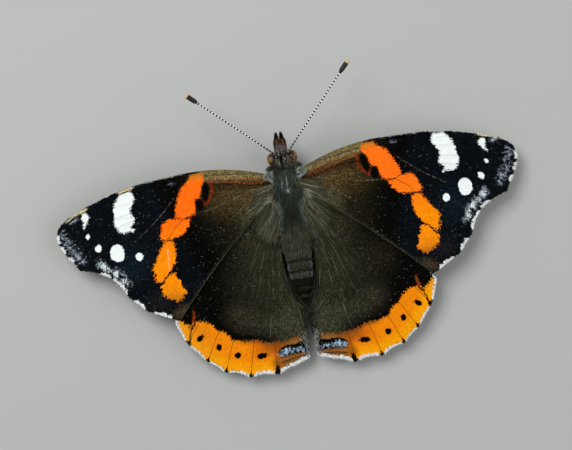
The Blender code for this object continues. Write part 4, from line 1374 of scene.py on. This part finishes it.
def body_frame(y, angle):
    """Point, outward normal and backward lie of the skin, by small steps along it and round it."""
    step = 0.02
    point = body_point(y, angle)
    back = unit(body_point(y - step, angle) - body_point(y + step, angle))
    round_it = unit(body_point(y, angle + step) - body_point(y, angle - step))
    outward = unit(np.cross(round_it, back))
    return point, outward, back


def thorax_tint(x, place, tone, cover):
    """A green-grey back with glints, pale blue-grey shoulders, tan flanks and a black collar."""
    hairy, even = 0.2 + 1.4 * tone ** 1.3, 0.5 + 0.6 * tone
    out = np.abs(x)
    edge = 1.35 + 0.5 * smooth_step(-place, -11.6, -9.6)
    shoulder = smooth_step(out, edge, edge + 0.35) * smooth_step(place, 9.0, 9.9)
    # painted shadow in the gap between the shoulder pad and the back
    slit = bell(out, edge - 0.02, 0.17) * smooth_step(place, 9.0, 9.4) * smooth_step(-place, -11.5, -11.0)
    collar = smooth_step(place, 11.5, 11.8)
    flank = smooth_step(out, 0.9, 1.6) * smooth_step(-place, -8.2, -6.0)
    thorax = colour(76, 84, 70) * (0.15 + 1.6 * tone ** 1.3)
    thorax = thorax * (1.25 - 0.5 * smooth_step(-place, -9.6, -7.6))
    return cover(
        thorax,
        (hairy, bell(place, 5.0, 1.3) * bell(out, 0.0, 1.0) * 0.85, (40, 38, 32)),
        (hairy, flank * (tone > 0.4), (128, 138, 124)),
        # blue and white glints and two dark flecks on the back
        (hairy, bell(x, -0.6, 0.14) * bell(place, 9.8, 0.7) * 0.8, (140, 170, 176)),
        (hairy, bell(x, 0.1, 0.08) * bell(place, 9.7, 0.75), (206, 214, 206)),
        (hairy, bell(x, 0.05, 0.22) * bell(place, 8.7, 0.16), (236, 238, 232)),
        (hairy, bell(x, 1.35, 0.2) * bell(place, 7.3, 0.45) * 0.8, (14, 16, 13)),
        (hairy, bell(x, -1.2, 0.14) * bell(place, 6.6, 0.2) * 0.8, (14, 16, 13)),
        # pale shoulders, brighter on the right and bluer on the left, edged by a slit of painted shadow
        (even, shoulder, (182, 190, 176)),
        (even, bell(x, 2.0, 0.5) * bell(place, 10.6, 0.7) * 0.8, (212, 220, 222)),
        (even, bell(x, -1.75, 0.3) * bell(place, 10.0, 0.8) * 0.6, (96, 130, 130)),
        (hairy, smooth_step(out, 1.9, 2.2) * smooth_step(-place, -9.4, -8.7), (150, 144, 120)),
        (hairy, slit, (6, 6, 5)),
        (hairy, bell(out, 2.5, 0.4) * bell(place, 8.5, 0.3), (132, 88, 36)),
        # the collar behind the head
        (even, collar * (tone > 0.5), (96, 98, 90)),
        (hairy, collar * (tone <= 0.5), (14, 13, 11)),
        (hairy, bell(place, 11.75 - 0.16 * out, 0.12) * (out < 1.6), (7, 7, 6)),
    )


def abdomen_tint(out, place, tone, cover):
    """Olive with dark grooves, pale rims and grey sides, and two yellow lines at its tip; painted
    shade darkens its rear nearly to black.
    """
    hairy = 0.2 + 1.4 * tone ** 1.3
    rims = sum(bell(place, groove - 0.36, 0.2) for groove in ABDOMEN_GROOVES[2:])
    grooves = sum(bell(place + 0.12 * out, groove, 0.12) for groove in ABDOMEN_GROOVES[2:])
    sides = smooth_step(out, 1.25, 1.6) * smooth_step(-place, 1.2, 2.2)
    yellow = (bell(place, -6.3, 0.09) + bell(place, -7.45, 0.1)) * bell(out, 0.2, 0.7)
    glint = bell(place, -4.4, 0.5) * bell(out, 0.0, 1.2) * 0.5
    abdomen = colour(98, 100, 79) * (0.12 + 1.5 * tone ** 1.3)
    abdomen = cover(abdomen, (hairy, np.clip(rims, 0, 1) * 0.5 * (tone > 0.35), (140, 138, 112)))
    abdomen = abdomen * (1 - 0.35 * smooth_step(-place, 1.0, 2.2))
    abdomen = abdomen * (1 + 0.25 * bell(place, 2.4, 1.2))
    abdomen = cover(abdomen, (hairy, sides * 0.7, (138, 140, 144)),
                    (hairy, glint * (tone > 0.6), (140, 148, 150)))
    abdomen = abdomen * (1 - 0.85 * np.clip(grooves, 0, 1))
    # painted shade: the rear, sunk between the hind wings, darkened nearly to black
    abdomen = abdomen * (1 - 0.92 * smooth_step(-place, 4.5, 5.4))
    waist = bell(place, 2.4, 0.4) * bell(out, 0.0, 0.55) * 0.8
    lines = np.clip(yellow, 0, 1) * 0.8
    return cover(abdomen, (hairy, lines, (96, 92, 46)), (hairy, waist, (22, 20, 17)))


def body_tint(y, angle, draw):
    """Coat colours: thorax and abdomen, which meet in a ragged line, a black and white speckled head
    with a paler face, and buff underneath."""
    point = body_point(y, angle)
    x, place = point[:, :1], y[:, None]
    upper = smooth_step(np.sin(angle), -0.5, 0.4)[:, None]
    strand = locks(y * 1.3, point[:, 0] * 1.6)[:, None]
    tone = lock_tone(draw, strand, 0.6, 0.8, 0.2)

    def cover(shade, *layers):
        """Colours with others laid over them in turn, each as light as its hairs' tone."""
        for light, patch, laid in layers:
            shade = shade + (colour(*laid) * light - shade) * patch
        return shade

    thorax = thorax_tint(x, place, tone, cover)
    abdomen = abdomen_tint(np.abs(x), place, tone, cover)
    shade = abdomen + (thorax - abdomen) * smooth_step(place + (strand - 0.5) * 1.2, 2.4, 4.4)
    head = np.where(tone > 0.7, colour(206, 200, 176) * (0.4 + 0.6 * tone), colour(17, 15, 11))
    face = colour(150, 136, 130) * (0.4 + 0.9 * tone)
    head = head + (face - head) * smooth_step(place, 13.7, 14.1)
    shade = shade + (head - shade) * smooth_step(place, 12.35, 12.6)
    below = colour(120, 104, 82) * (0.7 + 0.5 * tone)
    return shade * upper + below * (1 - upper)


SKIN_RINGS = 320
SKIN_SIDES = 60


def make_skin(finish):
    """One closed skin from the tip of the abdomen to the front of the head."""
    stations = np.linspace(ABDOMEN_TIP_Y, HEAD_FRONT, SKIN_RINGS)
    angle = np.linspace(0.0, 2 * math.pi, SKIN_SIDES, endpoint=False)
    y, turn = np.meshgrid(stations, angle, indexing="ij")
    points, triangles = closed_tube(body_point(y, turn))
    skin = make_mesh("body_skin", points, triangles[:, ::-1], finish)
    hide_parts("thorax", "abdomen", "head")


def finish_skin():
    """Dark horn under the coat, with fine pits."""
    finish = Finish("body_skin", 0.7, Specular_IOR_Level=0.25)
    grain = finish.noise(5.0, 4.0)
    finish.paint(finish.mix(grain, colour(14, 14, 10), colour(38, 38, 29)))
    finish.emboss(grain, 0.5, 0.03)
    return finish


# Each part of the coat: its two ends along the body, tufts, shortest and longest, and their lift.
COAT_PARTS = {
    "coat_abdomen": (ABDOMEN_TIP_Y + 0.12, -0.6, 10000, (0.28, 0.55), 0.13),
    "coat_waist": (-1.2, 4.6, 8000, (0.7, 1.7), 0.17),
    "coat_thorax": (4.2, 12.1, 12000, (0.5, 1.05), 0.24),
    "coat_head": (11.9, HEAD_FRONT - 0.05, 5400, (0.4, 0.8), 0.42),
}


def finish_fold_painted_shade():
    """Nearly black scales: painted shade for the flap beside the abdomen, which lies in shadow."""
    finish = Finish("wing_fold_painted_shade", 0.8, Specular_IOR_Level=0.05)
    finish.paint(finish.mix(finish.cells(9.0, "Color"), colour(10, 9, 6), colour(36, 33, 22)))
    return finish


def make_coat(name, finish, draw):
    """Short overlapping hairs that lie back along the body, all round it. They lie calmer on the
    shoulders, part at the waist and the collar, and turn forwards on the face."""
    low, high, count, lengths, lift = COAT_PARTS[name]
    y = draw.uniform(low, high, count)
    angle = draw.uniform(0.0, 2 * math.pi, count)
    if name == "coat_head":
        side = np.abs(body_point(y, angle)[:, 0])
        keep = ~((side > 0.95) & (np.abs(y - EYE_PLACE[1]) < 0.7) & (np.abs(np.sin(angle)) < 0.7))
        y, angle = y[keep], angle[keep]
    roots, outward, back = body_frame(y, angle)
    out = np.abs(roots[:, 0])
    shoulder = np.zeros(len(y))
    if name == "coat_thorax":
        shoulder = smooth_step(y, 9.0, 10.0) * smooth_step(out, 1.2, 1.7)
        shoulder = np.maximum(shoulder, smooth_step(y, 11.3, 11.7))
    calm = (1 - 0.8 * shoulder)[:, None]
    lie = back + outward * lift * calm + draw.normal(0.0, 0.12, back.shape) * calm
    length = draw.uniform(*lengths, len(y))
    sideways = np.sign(roots[:, :1]) * np.array([1.0, 0.0, 0.0])
    if name == "coat_head":
        ahead = smooth_step(y, 13.2, 14.0)[:, None]
        lie = lie - back * ahead * 1.8 + sideways * 0.7 * (1 - ahead)
    if name == "coat_thorax":
        flank = smooth_step(out, 1.6, 2.3)[:, None]
        collar = smooth_step(y, 11.5, 11.9)[:, None]
        lie = lie + sideways * (flank * 0.15 + collar * 0.4) - back * collar * 0.2
        length = length * (1 - 0.4 * smooth_step(y, 9.0, 10.0))
    if name == "coat_waist":
        lie = lie + sideways * smooth_step(y, 2.4, 3.6)[:, None] * 0.35
        length = length * (0.4 + 0.6 * smooth_step(y, -1.5, 1.5))
    tints = body_tint(y, angle, draw)
    unwrap = np.stack([angle / (2 * math.pi), (y - ABDOMEN_TIP_Y) / (HEAD_FRONT - ABDOMEN_TIP_Y)], axis=1)
    width = draw.uniform(0.05, 0.085, len(y))
    sweep = draw.normal(0.0, 0.12, len(y)) * calm[:, 0]
    grow(name, finish, roots, lie, outward, length, width, tints, unwrap,
         rise=0.2 * (1 - 0.7 * shoulder), sweep=sweep, root_painted_shade=0.5)


PALP_ROUTE = (
    (0.46, 13.6, 5.0), (0.47, 14.6, 5.05), (0.46, 15.5, 5.2), (0.4, 16.2, 5.45), (0.37, 16.85, 5.6),
)
PALP_RADII = (0.5, 0.56, 0.54, 0.3, 0.09)
PALP_SCALE_COUNT = 1500
PALP_CORE = 0.8               # share of the radius that is horn, under the scales


def round_limb(forward, turn):
    """Direction away from a limb's middle line, at an angle round it."""
    across = unit(np.cross(forward, UP))
    upright = np.cross(across, forward)
    return across * np.cos(turn)[:, None] + upright * np.sin(turn)[:, None]


def make_palps(finish, coat, draw):
    """Each palp is a tapered horn from the front of the head; its scales lie forward, black at the
    outer edge and the tip, buff along the middle."""
    for side, sign in SIDES.items():
        route = bend(np.array(PALP_ROUTE) * (sign, 1, 1), 10)
        radius = np.interp(np.linspace(0, 4, len(route)), range(5), PALP_RADII)
        points, triangles = closed_tube(tube_rings(route, radius * PALP_CORE, 20, squash=1.15))
        horn = make_mesh("palp_%s_horn" % side, points, triangles, finish)
        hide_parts("palp_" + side)
        count = PALP_SCALE_COUNT
        place = draw.uniform(0.0, 1.0, count)
        angle = draw.uniform(0.0, 2 * math.pi, count)
        index = np.clip((place * (len(route) - 1)).astype(int), 0, len(route) - 2)
        share = (place * (len(route) - 1) - index)[:, None]
        middle = route[index] * (1 - share) + route[index + 1] * share
        forward = unit(route[index + 1] - route[index])
        outward = round_limb(forward, angle)
        roots = middle + outward * (np.interp(place * 4, range(5), PALP_RADII)[:, None] * PALP_CORE)
        outer = smooth_step(outward[:, 0] * sign, 0.15, 0.7)[:, None]
        tip = smooth_step(place, 0.6, 0.74)[:, None]
        tone = draw.uniform(0.55, 1.35, (count, 1))
        ridge = bell(outward[:, :1] * sign, 0.1, 0.22)
        base = smooth_step(-place, -0.5, -0.25)[:, None] * (1 - outer * 0.6)
        tints = (colour(84, 60, 30) * (1 - outer) + colour(46, 18, 8) * outer) * tone
        tints = tints + (colour(190, 160, 96) * tone - tints) * ridge * 0.6
        tints = tints + (colour(168, 154, 150) * tone - tints) * base * 0.8
        tints = tints * (1 - tip) + colour(9, 7, 5) * tip
        lie = forward + outward * 0.25 + draw.normal(0.0, 0.08, roots.shape)
        unwrap = np.stack([angle / (2 * math.pi), place], axis=1)
        length = draw.uniform(0.25, 0.5, count)
        grow("coat_palp_" + side, coat, roots, lie, outward, length, 0.05, tints, unwrap,
             rise=0.1)


FACETS_PER_MM = 22.0


def finish_eye():
    """Amber with a dark front and back, under fine facets."""
    finish = Finish("eye_facets", 0.35, Specular_IOR_Level=0.4)
    facets = finish.cells(FACETS_PER_MM)
    tone = finish.noise(1.2, 3.0)
    shade = finish.mix(tone.above(0.5, 0.12), colour(70, 38, 10), colour(146, 104, 38))
    shade = finish.mix(finish.attribute("dusk"), shade, colour(30, 14, 6))
    shade = finish.mix(finish.attribute("rim"), shade, colour(196, 186, 140))
    finish.paint(finish.scaled(shade, 1.15 - facets * 0.6))
    finish.emboss(1.0 - facets, 0.5, 0.02)
    return finish


def make_eye(side, finish):
    """An egg-shaped eye: a ball stretched to three half sizes, set into the side of the head."""
    sign = SIDES[side]
    centre = np.array(EYE_PLACE) * (sign, 1, 1)
    turn = np.linspace(0.0, 2 * math.pi, 64, endpoint=False)
    rise = np.linspace(-math.pi / 2, math.pi / 2, 48)[1:-1]
    rise, turn = np.meshgrid(rise, turn, indexing="ij")
    ball = np.stack([np.cos(rise) * np.cos(turn), np.cos(rise) * np.sin(turn), np.sin(rise)], axis=-1)
    points, triangles = closed_tube(ball * EYE_HALF + centre)
    place = (points - centre) / EYE_HALF
    ahead, out = place[:, 1], place[:, 0] * sign
    front = smooth_step(ahead + 0.3 * np.sin(out * 7), 0.3, 0.7)
    dusk = np.maximum(front, smooth_step(-out, -0.3, 0.1)) * 0.9
    rim = smooth_step(out, 0.86, 0.97) * 0.7
    eye = make_mesh("eye_%s_facets" % side, points, triangles, finish, {"dusk": dusk, "rim": rim})
    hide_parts("eye_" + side)


# Feelers and legs

FEELER_ROOT = (0.95, 13.85, 6.62)
FEELER_SOCKET = (0.72, 13.6, 6.1)
FEELER_TIPS = {"left": (-12.66, 24.62, 9.0), "right": (11.96, 25.73, 9.0)}
SHAFT_RADIUS = 0.135
CLUB_RADIUS = 0.36
CLUB_LENGTH = 2.6
FEELER_PITCH = 0.53           # length of one joint, with its white ring
LIMB_SIDES = 18


def finish_feeler():
    """Black, with a white ring on each joint from two millimetres on, and a cream tip to the club."""
    finish = Finish("feeler_rings", 0.5, Specular_IOR_Level=0.35)
    along = finish.attribute("along")
    club = finish.attribute("club")
    ring = 1.0 - (along / FEELER_PITCH).fraction().distance_to(0.5).above(0.2, 0.05)
    whitening = along.above(3.2, 2.2) * 0.75 + 0.15
    white = ring * whitening * (1.0 - club.above(0.3, 0.1))
    shade = finish.mix(white, colour(8, 8, 8), colour(246, 246, 250))
    shade = finish.mix(club.above(1.75, 0.06), shade, colour(206, 176, 128))
    finish.paint(shade)
    finish.emboss(finish.noise(10.0, 3.0), 0.4, 0.02)
    return finish


def make_feeler(side, finish):
    """A shaft of many short joints that rises in a bow to a long club."""
    mirror = (SIDES[side], 1, 1)
    root = np.array(FEELER_ROOT) * mirror
    socket = np.array(FEELER_SOCKET) * mirror
    tip = np.array(FEELER_TIPS[side])
    share = np.linspace(0.0, 1.0, 420)
    path = root + (tip - root) * np.stack([share, share, np.sin(share * math.pi / 2)], axis=1)
    lead = socket + (root - socket) * np.linspace(0.0, 1.0, 12)[:-1, None]
    path = np.concatenate([lead, path])
    length = np.concatenate([[0.0], np.cumsum(np.linalg.norm(np.diff(path, axis=0), axis=1))])
    left = length[-1] - length
    club = smooth_step(-left, -CLUB_LENGTH, -CLUB_LENGTH + 1.1)
    joint = 0.5 + 0.5 * np.cos(2 * math.pi * length / FEELER_PITCH)
    radius = SHAFT_RADIUS * (1.0 - 0.12 * joint) * (1 - club) + CLUB_RADIUS * club
    radius = radius * np.sqrt(np.clip(1 - (1 - np.clip(left / 0.55, 0, 1)) ** 2, 0.02, 1))
    radius = radius + 0.09 * bell(length, 0.0, 0.35)
    points, triangles = closed_tube(tube_rings(path, radius, LIMB_SIDES))
    numbers = {"along": length, "club": club + smooth_step(-left, -0.62, -0.42)}
    for key, values in numbers.items():
        numbers[key] = np.concatenate([np.repeat(values, LIMB_SIDES), values[[0, -1]]])
    feeler = make_mesh("antenna_%s_rings" % side, points, triangles, finish, numbers)
    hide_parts("antenna_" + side)


LEG_ROUTES = {
    "leg_mid": ((5.0, 8.0, 4.2), (6.9, 9.6, 0.9), (7.7, 10.7, 0.2), (9.0, 12.3, 0.2)),
    "leg_hind": ((4.7, 0.9, 3.6), (6.2, -3.4, 0.9), (6.5, -4.7, 0.2), (7.0, -7.2, 0.2)),
    "leg_fore": ((1.15, 11.5, 2.95), (0.95, 12.9, 3.1), (0.85, 13.8, 3.45)),
}
LEG_HIPS = {"leg_mid": (7.2, -50.0), "leg_hind": (4.9, -55.0), "leg_fore": (10.2, -62.0)}
WALKING_LEG_RADII = (0.42, 0.36, 0.2, 0.15, 0.1)
BRUSH_FOOT_RADII = (0.3, 0.26, 0.2, 0.1, 0.1)
SPINE_COUNT = 420


def finish_leg():
    """Buff scales over brown horn."""
    finish = Finish("leg_scales", 0.65, Specular_IOR_Level=0.3)
    grain = finish.noise(4.0, 4.0)
    flecks = finish.cells(9.0, "Color")
    shade = finish.mix(grain, colour(98, 74, 46), colour(168, 142, 102))
    finish.paint(finish.mix(0.25, shade, flecks, blend="SOFT_LIGHT"))
    finish.emboss(grain, 0.5, 0.03)
    return finish


def make_leg(leg, side, finish, coat, draw):
    """Thigh, shin and foot as one tube that thins at the joints, with rows of short spines."""
    y, angle = LEG_HIPS[leg]
    turn = math.radians(angle)
    reach = float(thorax_radius(np.float64(y))) - 0.1
    hip = (reach * math.cos(turn), y, TORSO_Z + reach * math.sin(turn))
    route = [np.array(point) * (SIDES[side], 1, 1) for point in (hip, *LEG_ROUTES[leg])]
    path = bend(route, 24)
    share = np.linspace(0.0, len(route) - 1.0, len(path))
    radius = np.interp(share, range(5), BRUSH_FOOT_RADII if leg == "leg_fore" else WALKING_LEG_RADII)
    knots = sum(bell(share, joint, 0.07) for joint in (1.0, 2.0, 3.0))
    radius = radius * (1 - 0.18 * knots) * (1 + 0.12 * np.sin(share * math.pi) ** 2)
    path[:, 2] = np.maximum(path[:, 2], radius + 0.005)
    points, triangles = closed_tube(tube_rings(path, radius, LIMB_SIDES))
    name = "_".join((leg, side))
    limb = make_mesh(name + "_scales", points, triangles, finish)
    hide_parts(name)
    index = draw.integers(6, len(path) - 4, SPINE_COUNT)
    turn = draw.uniform(0.0, 2 * math.pi, SPINE_COUNT)
    forward = unit(path[index + 1] - path[index])
    outward = round_limb(forward, turn)
    roots = path[index] + outward * radius[index][:, None] * 0.9
    keep = roots[:, 2] + outward[:, 2] * 0.2 > 0.12
    lie = forward + outward * 0.5
    tints = colour(132, 108, 74) * draw.uniform(0.4, 1.2, (SPINE_COUNT, 1))
    unwrap = np.stack([turn / (2 * math.pi), index / len(path)], axis=1)
    length = draw.uniform(0.14, 0.34, SPINE_COUNT)
    grow(name + "_spines", coat, roots[keep], lie[keep], outward[keep], length[keep], 0.035,
         tints[keep], unwrap[keep], rise=0.1)


# Floor, light and camera

PIXEL = 0.15                  # millimetres to a pixel of the picture
PICTURE_WIDTH = 572
VIEW_CENTRE = (-1.085, 3.24, 5.0)
VIEW_TURN = -9.5
LENS = 100.0
SENSOR = 36.0
FLOOR_HALF = 0.6
FLOOR_SHADE = (0.42, 0.43, 0.41, 1.0)
SKY_SHADE = (0.92, 0.96, 1.0, 1.0)
SKY_STRENGTH = 0.40
LAMPS = {"key": ((-0.12, 0.16, 0.36), 0.2, 1.22), "fill": ((0.26, -0.10, 0.30), 0.3, 0.42)}


def place_in_scene(thing):
    bpy.context.scene.collection.objects.link(thing)
    return thing


def make_floor():
    finish = Finish("floor", 0.9)
    finish.shader.inputs["Base Color"].default_value = FLOOR_SHADE
    half = FLOOR_HALF
    corners = [(-half, -half, 0), (half, -half, 0), (half, half, 0), (-half, half, 0)]
    mesh = bpy.data.meshes.new("floor")
    mesh.from_pydata(corners, [], [(0, 1, 2, 3)])
    mesh.materials.append(finish.material)
    place_in_scene(bpy.data.objects.new("floor", mesh))


def make_lamp(name, place, size, power):
    """A square lamp that points at the middle of the floor."""
    lamp = bpy.data.lights.new(name, "AREA")
    lamp.size = size
    lamp.energy = power
    holder = place_in_scene(bpy.data.objects.new(name, lamp))
    holder.location = place
    aim = -np.array(place)
    holder.rotation_euler = (math.atan2(math.hypot(aim[0], aim[1]), -aim[2]), 0.0,
                             math.atan2(-aim[0], aim[1]))


def make_light():
    world = bpy.data.worlds.new("studio")
    world.use_nodes = True
    sky = world.node_tree.nodes["Background"].inputs
    sky["Color"].default_value = SKY_SHADE
    sky["Strength"].default_value = SKY_STRENGTH
    bpy.context.scene.world = world
    for name, (place, size, power) in LAMPS.items():
        make_lamp(name, place, size, power)
    bpy.context.scene.view_settings.view_transform = "Standard"


def make_camera():
    """Straight above, far enough that the picture's width spans its millimetres, and turned a little
    against the body's own axis."""
    camera = bpy.data.cameras.new("camera")
    camera.lens = LENS
    camera.sensor_width = SENSOR
    camera.clip_start = 0.001
    distance = PIXEL * PICTURE_WIDTH * MM * LENS / camera.sensor_width
    holder = place_in_scene(bpy.data.objects.new("camera", camera))
    x, y, z = VIEW_CENTRE
    holder.location = (x * MM, (y - MIDDLE_Y) * MM, z * MM + distance)
    holder.rotation_euler = (0.0, 0.0, math.radians(VIEW_TURN))
    bpy.context.scene.camera = holder


def main():
    make_camera()
    make_light()
    make_floor()
    draw = np.random.default_rng(11)
    wing_finish = finish_wing()
    wing_coat = finish_coat("wing_hair", 0.65)
    body_coat = finish_coat("body_hair", 0.55)
    skin_finish = finish_skin()
    fold_shade_finish = finish_fold_painted_shade()
    make_skin(skin_finish)
    for name in COAT_PARTS:
        make_coat(name, body_coat, draw)
    make_palps(skin_finish, body_coat, draw)
    eye_finish = finish_eye()
    feeler_finish = finish_feeler()
    leg_finish = finish_leg()
    for side in SIDES:
        make_eye(side, eye_finish)
        make_feeler(side, feeler_finish)
        for leg in LEG_ROUTES:
            make_leg(leg, side, leg_finish, body_coat, draw)
        make_root_hair(side, body_coat, draw)
        make_fold(side, fold_shade_finish)
        make_slit_hair(side, wing_coat, draw)
        for kind in VEINS:
            make_wing(kind, side, wing_finish)
            make_fringe(kind, side, wing_coat, draw)
            make_wing_hair(kind, side, wing_coat, draw)


main()
